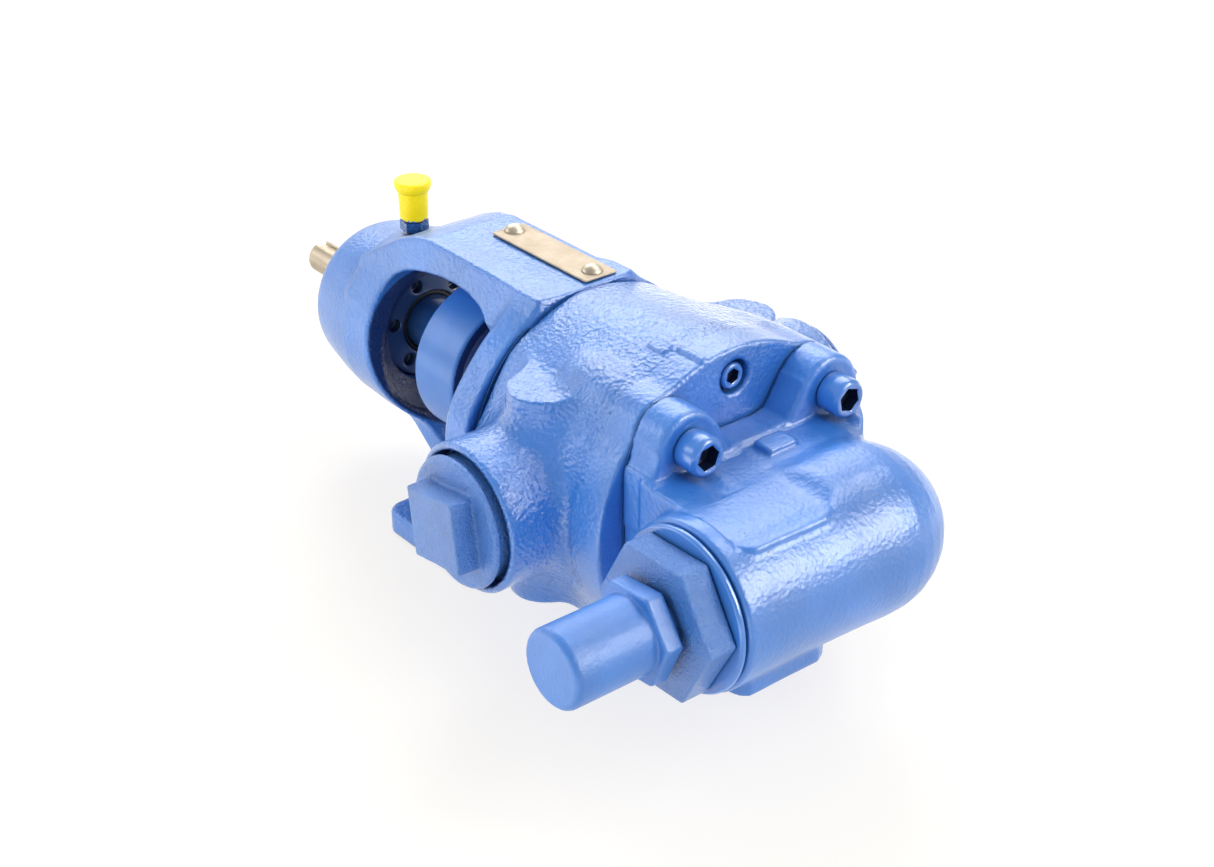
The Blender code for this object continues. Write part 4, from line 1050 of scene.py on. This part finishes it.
EAR_NAMES = ["upper_left", "upper_right", "lower_left", "lower_right"]
for n_, (ex, ez), rt in zip(EAR_NAMES, EARS, (10, 42, 25, 3)):
    socket_screw("ear_screw_" + n_, (ex, ez), -23.6, 7.15, 9.3, 4.6, 44.0, 8.0, 5.0,
                 rot=rt, replaces="valve_screw_" + n_)
for n_, hz in (("top", 47.8), ("bottom", -47.8)):
    socket_screw("sunk_screw_" + n_, (0, hz), 0.6, 4.9, 6.0, 2.8, 21.0, 5.0, 3.4,
                 rot=22, replaces="head_screw_" + n_)
for i, (bx, bz) in enumerate(BACK_SCREWS):
    socket_screw("flange_screw_%d" % (i + 1), (bx, bz), 92.3, 5.0, 6.0, 3.0, 20.5, 5.0,
                 3.2, sign=-1, replaces="bracket_screw_%d" % (i + 1), n=48)
for i, (sx, sz) in enumerate(SEAL_SCREWS):
    socket_screw("housing_screw_%d" % (i + 1), (sx, sz), 147.4, 4.2, 4.6, 2.4, 55.5,
                 4.0, 2.6, sign=-1, replaces="seal_housing_screw_%d" % (i + 1), n=48)


# ======================================================================= plugs
def plug_field(sx, turn):
    c, s = math.cos(math.radians(turn)), math.sin(math.radians(turn))

    def f(p):
        x, y, z = sx * p[0], p[1] - PORT_Y, p[2]
        w = z - 0.5
        d = lathe([x, y, z], "x", (0, 0), [
            (0, 84.6), (22.6, 84.6), (23.6, 84.2), (24.2, 83.3), (24.2, 82.6),
            (23.8, 82.2), (22.7, 81.8), (22.4, 62.0), (16.5, 62.0), (15.5, 74.0),
            (0, 75.5)])
        u, v = y * c + w * s, -y * s + w * c
        half = 13.1 + 0.015 * (93.5 - x)
        sq = smax(smax(np.abs(u) - half, np.abs(v) - half, 0.9), x - 93.5, 0.8)
        sq = np.maximum(sq, 78 - x)
        return smin(d, sq, 1.2) + rolling(p, 9, 0.06, 5)
    return f


for sx, side, turn in ((-1, "left", -8.5), (1, "right", 21)):
    lo, hi = sorted((sx * 61.0, sx * 94.5))
    surface("square_head_plug_" + side, plug_field(sx, turn), (lo, 22, -25),
            (hi, 71.5, 25), 0.62, ROOT, PAINT_HEX, ["port_plug_" + side])


# ============================================================== valve bonnet, cap
def hex_distance(u, v, af, rot):
    d = None
    for k in range(3):
        a = math.radians(rot + 30 + 60 * k)
        e = np.abs(u * math.cos(a) + v * math.sin(a)) - af / 2
        d = e if d is None else smax(d, e, 0.7)
    return d


def bonnet_field(p):
    x, y, z = p
    u, v = y - VALVE_Y, z - VALVE_Z
    r = np.hypot(u, v)
    d = slab(hex_distance(u, v, 46.6, 58), x, -73.7, -62.8, 0.7)
    # slight chamfer on the outer corners
    d = smax(d, (r - 27.6) * 0.8 - (x + 73.7) * 0.6, 0.5)
    d = np.minimum(d, lathe(p, "x", (VALVE_Y, VALVE_Z), [
        (0, -46.8), (20.0, -46.8), (20.0, -64), (0, -64)]))
    d = np.minimum(d, lathe(p, "x", (VALVE_Y, VALVE_Z), [
        (0, -72), (12.2, -72), (12.2, -74.2), (9.6, -74.2), (9.6, -84.2), (0, -84.2)]))
    # shallow blank panel sunk into one face
    a = math.radians(58 - 30)
    out = u * math.cos(a) + v * math.sin(a)
    along = -u * math.sin(a) + v * math.cos(a)
    panel = np.maximum(np.maximum(np.abs(along - 0.5) - 6.0, np.abs(x + 68.2) - 2.4),
                       22.7 - out)
    d = smax(d, -panel, 0.5)
    d = np.maximum(d, -lathe(p, "x", (VALVE_Y, VALVE_Z), [
        (0, -90), (5.1, -90), (5.1, -70.5), (13.4, -68.0), (13.4, -40), (0, -40)]))
    return d


surface("hexagon_bonnet", bonnet_field, (-85, -73, -24), (-46, -18, 32), 0.62, ROOT,
        PAINT_HEX, ["valve_bonnet"])


def cap_field(p):
    x, y, z = p
    u, v = y - VALVE_Y, z - VALVE_Z
    r = np.hypot(u, v)
    tube = lathe(p, "x", (VALVE_Y, VALVE_Z), [
        (0, -113.9), (10.6, -114.0), (11.2, -114.1), (12.3, -113.8), (13.1, -113.0),
        (13.5, -111.8), (13.5, -84), (13.5, -76.2), (0, -76.2)])
    hx = slab(hex_distance(u, v, 30.8, 54.4), x, -83.0, -76.2, 0.6)
    hx = smax(hx, (r - 17.3) * 0.8 - (x + 83.0) * 0.6, 0.5)
    d = smin(tube, hx, 0.9)
    # faint raised rim where the end face meets its chamfer
    return np.maximum(d, -rod(p, "x", (VALVE_Y, VALVE_Z), -107.0, -70, 9.9))


surface("valve_cap_closed", cap_field, (-115, -64, -15), (-75.5, -27, 22), 0.58,
        "valve_cap", PAINT_CAP, ["valve_cap"])
rings("bonnet_washer", bend([(20.7, -62.5), (28.0, -62.5), (28.6, -61.8),
                             (28.6, -60.7), (28.0, -60.1), (20.7, -60.1)], 0.3),
      "x", (VALVE_Y, VALVE_Z), ROOT, PAINT_SMOOTH, ["bonnet_gasket"], close=True, n=120)
rings("cap_washer", bend([(10.0, -75.9), (13.2, -75.9), (13.6, -75.5), (13.6, -74.9),
                          (13.2, -74.5), (10.0, -74.5)], 0.2),
      "x", (VALVE_Y, VALVE_Z), "cap_gasket", PAINT_SMOOTH, ["cap_gasket"], close=True)


# ===================================================== grease fitting, nameplate
rings("grease_nipple", bend([(0, 53.5), (2.2, 53.5), (2.9, 52.4), (2.3, 50.6),
                             (3.6, 49.0), (3.6, 42.4)], 0.3)
      + [(hexagon(10.4, 20), 42.4), (hexagon(10.4, 20), 38.3)]
      + [(3.1, 38.0), (3.1, 21.5), (0, 21.5)],
      "z", (0, GREASE_Y), ROOT, PAINT_BLOB, ["grease_fitting"], n=48)
rings("grease_cap_moulded", bend([(0, 59.3), (5.9, 59.4), (6.9, 59.5), (7.45, 59.1),
                                  (7.5, 57.4), (7.2, 56.2), (6.7, 55.2), (6.05, 54.6),
                                  (5.95, 51.0), (5.75, 44.2), (5.6, 43.2), (5.2, 42.8),
                                  (4.2, 42.8), (4.2, 55.8), (0, 55.8)], 0.25),
      "z", (0, GREASE_Y), "grease_cap", YELLOW, ["grease_cap"], n=72)


def plate_field(p):
    x, y, z = p
    d = slab(slab(np.abs(x - 6.6) - 7.5, y, 79.6, 137.0, 0.8), z, 54.3, 55.15, 0.2)
    # stamped border and blank writing fields, no lettering
    frame_in = np.abs(np.maximum(np.abs(x - 6.6) - 6.4, np.abs(y - 108.3) - 27.4)) - 0.16
    grooves = frame_in
    for k in range(4):
        c = 95.3 + 8.8 * k
        g = np.abs(np.maximum(np.abs(x - 6.6) - 4.8, np.abs(y - c) - 3.2)) - 0.13
        grooves = np.minimum(grooves, g)
    d = smax(d, -np.maximum(grooves, 54.98 - z), 0.06)
    for px, py in PLATE_PINS:
        d = np.maximum(d, -rod(p, "z", (px, py), 50, 60, 1.6))
    return d


surface("blank_nameplate", plate_field, (-1.3, 79.2, 54.0), (14.5, 137.4, 55.4), 0.3,
        ROOT, PLATE, ["nameplate"])
for i, (px, py) in enumerate(PLATE_PINS):
    rings("drive_screw_%d" % (i + 1),
          [(0, 57.8), (0.9, 57.74), (1.8, 57.5), (2.7, 57.05), (3.4, 56.5),
           (3.9, 55.85), (4.1, 55.4), (4.05, 55.2), (1.25, 55.2), (1.25, 49.0),
           (0, 49.0)],
          "z", (px, py), ROOT, NICKEL, ["nameplate_screw_%d" % (i + 1)],
          n=48, sharp=60)


# ================================================== CAD nodes that keep their shape
def finish_node(node, mat):
    ob = frame["nodes"][node]
    ob = ob if hasattr(ob, "material_slots") else bpy.data.objects[node]
    if not ob.data.materials:
        ob.data.materials.append(mat)
    for s in ob.material_slots:
        s.material = mat


KEEP = {
    "rotor": IRON, "idler_gear": IRON, "idler_bushing": CARBON, "idler_pin": STEEL_X,
    "rotor_key": STEEL_X, "bracket_bushing": BRONZE, "bearing_balls_and_cage": BRONZE,
    "bearing_inner_ring": STEEL_X, "bearing_outer_ring": STEEL_X,
    "lock_washer": STEEL_X, "bearing_lock_nut": STEEL_X, "seal_seat": CARBON,
    "seal_rotating_ring": STEEL_X, "seal_retainer": STEEL_X, "seal_spring": STEEL_X,
    "relief_poppet": STEEL_X, "relief_spring": STEEL_X, "spring_guide": STEEL_X,
    "adjusting_screw": STEEL_X, "adjusting_lock_nut": STEEL_X, "valve_gasket": PAINT_SEAM,
}
for node, mat in KEEP.items():
    finish_node(node, mat)


# ================================================================ floor and light
floor_me = bpy.data.meshes.new("paper_floor")
bm = bmesh.new()
# a sheet of backdrop paper that curves up far behind the pump
prof = [(-3.0, 0.0), (2.2, 0.0)]
for k in range(1, 13):
    a = math.radians(90 * k / 12)
    prof.append((2.2 + 1.0 * math.sin(a), 1.0 - 1.0 * math.cos(a)))
prof.append((3.2, 4.0))
yaw = math.atan2(0.6769, 0.5533)
rows = []
for d, h in prof:
    row = []
    for w in (-5.0, 5.0):
        x = d * math.cos(yaw) - w * math.sin(yaw)
        y = d * math.sin(yaw) + w * math.cos(yaw)
        row.append(bm.verts.new((x, y, h - 0.0002)))
    rows.append(row)
for a, b in zip(rows, rows[1:]):
    bm.faces.new((a[0], b[0], b[1], a[1]))
bmesh.ops.recalc_face_normals(bm, faces=bm.faces)
bm.to_mesh(floor_me)
bm.free()
floor_me.shade_smooth()
floor = bpy.data.objects.new("paper_floor", floor_me)
bpy.context.scene.collection.objects.link(floor)
m, nt, b = nodes_of("backdrop_paper")
v = coords(nt, 10.0)
nt.links.new(ramp(nt, noise(nt, v, 0.6, 3.0), [(0.3, (0.34, 0.33, 0.31)),
                                              (0.7, (0.38, 0.37, 0.345))]),
             b.inputs["Base Color"])
b.inputs["Roughness"].default_value = 0.9
b.inputs["Specular IOR Level"].default_value = 0.1
# the sheet is lit through from behind, which is why shadows on it stay faint
b.inputs["Emission Color"].default_value = (1.0, 0.975, 0.94, 1)
b.inputs["Emission Strength"].default_value = 0.70
floor_me.materials.append(m)

TARGET = Vector((-0.02, -0.08, 0.06))


def softbox(name, direction, dist, size, power, size_y=None, color=(1, 1, 1)):
    d = Vector(direction).normalized()
    li = bpy.data.lights.new(name, "AREA")
    li.shape = "RECTANGLE"
    li.size = size
    li.size_y = size_y or size
    li.energy = power
    li.color = color
    ob = bpy.data.objects.new(name, li)
    bpy.context.scene.collection.objects.link(ob)
    ob.location = TARGET + d * dist
    ob.rotation_euler = d.to_track_quat("Z", "Y").to_euler()
    ob.visible_camera = False
    return ob


def direction(az, elev):
    """az from +Y towards +X, in degrees."""
    a, e = math.radians(az), math.radians(elev)
    return (math.sin(a) * math.cos(e), math.cos(a) * math.cos(e), math.sin(e))


def only(ob, diffuse, glossy):
    ob.visible_diffuse = diffuse
    ob.visible_glossy = glossy


# what the paint mirrors: bright paper behind, a tall panel in front
only(softbox("mirror_back", direction(28, 38), 2.1, 1.6, 23, 1.25), False, True)
only(softbox("mirror_back_left", direction(-38, 20), 2.1, 1.1, 9, 0.8), False, True)
only(softbox("mirror_front", direction(148, 26), 1.7, 0.78, 31, 1.0), False, True)
only(softbox("mirror_top", direction(90, 60), 1.8, 0.7, 11, 0.6), False, True)
# bright paper on the table to either side, seen only in the paint
for name, at, w, l, power in (("mirror_table_left", (-0.56, 0.20), 0.76, 1.5, 7.2),
                              ("mirror_table_front", (0.05, -0.85), 1.3, 0.8, 2.0),
                              ("mirror_table_right", (0.75, 0.1), 0.8, 1.4, 4.0)):
    low = softbox(name, (0, 0, 1), 0.1, w, power, l)
    low.location = (at[0], at[1], 0.002)
    low.rotation_euler = (math.pi, 0, 0)
    only(low, False, True)
# what lights the object itself
only(softbox("key_back", direction(38, 42), 1.9, 0.9, 16, 0.7), True, False)
only(softbox("fill_front", direction(150, 40), 1.8, 1.6, 12, 1.2), True, False)
only(softbox("fill_left", direction(-75, 30), 1.9, 1.3, 11, 1.0), True, False)

wd = bpy.data.worlds.new("studio")
bpy.context.scene.world = wd
wd.use_nodes = True
bg = wd.node_tree.nodes["Background"]
bg.inputs["Color"].default_value = (1.0, 1.0, 1.0, 1)
bg.inputs["Strength"].default_value = 0.55

# ======================================================================= camera
cam_data = bpy.data.cameras.new("photo_camera")
cam_data.sensor_width = 36.0
cam_data.lens = 57.54
cam = bpy.data.objects.new("photo_camera", cam_data)
bpy.context.scene.collection.objects.link(cam)
from mathutils import Matrix
R = Vector((0.7757, -0.6311, 0.0042)).normalized()
U = Vector((0.3035, 0.3789, 0.8742))
U = (U - R * U.dot(R)).normalized()
Bk = R.cross(U)
rot = Matrix((R, U, Bk)).transposed()
cam.matrix_world = Matrix.Translation((-0.40111, -0.54231, 0.41155)) @ rot.to_4x4()
cam_data.clip_start = 0.01
cam_data.clip_end = 50
bpy.context.scene.camera = cam
bpy.context.scene.view_settings.view_transform = "Standard"
bpy.context.scene.view_settings.exposure = 0.0

bpy.context.view_layer.update()
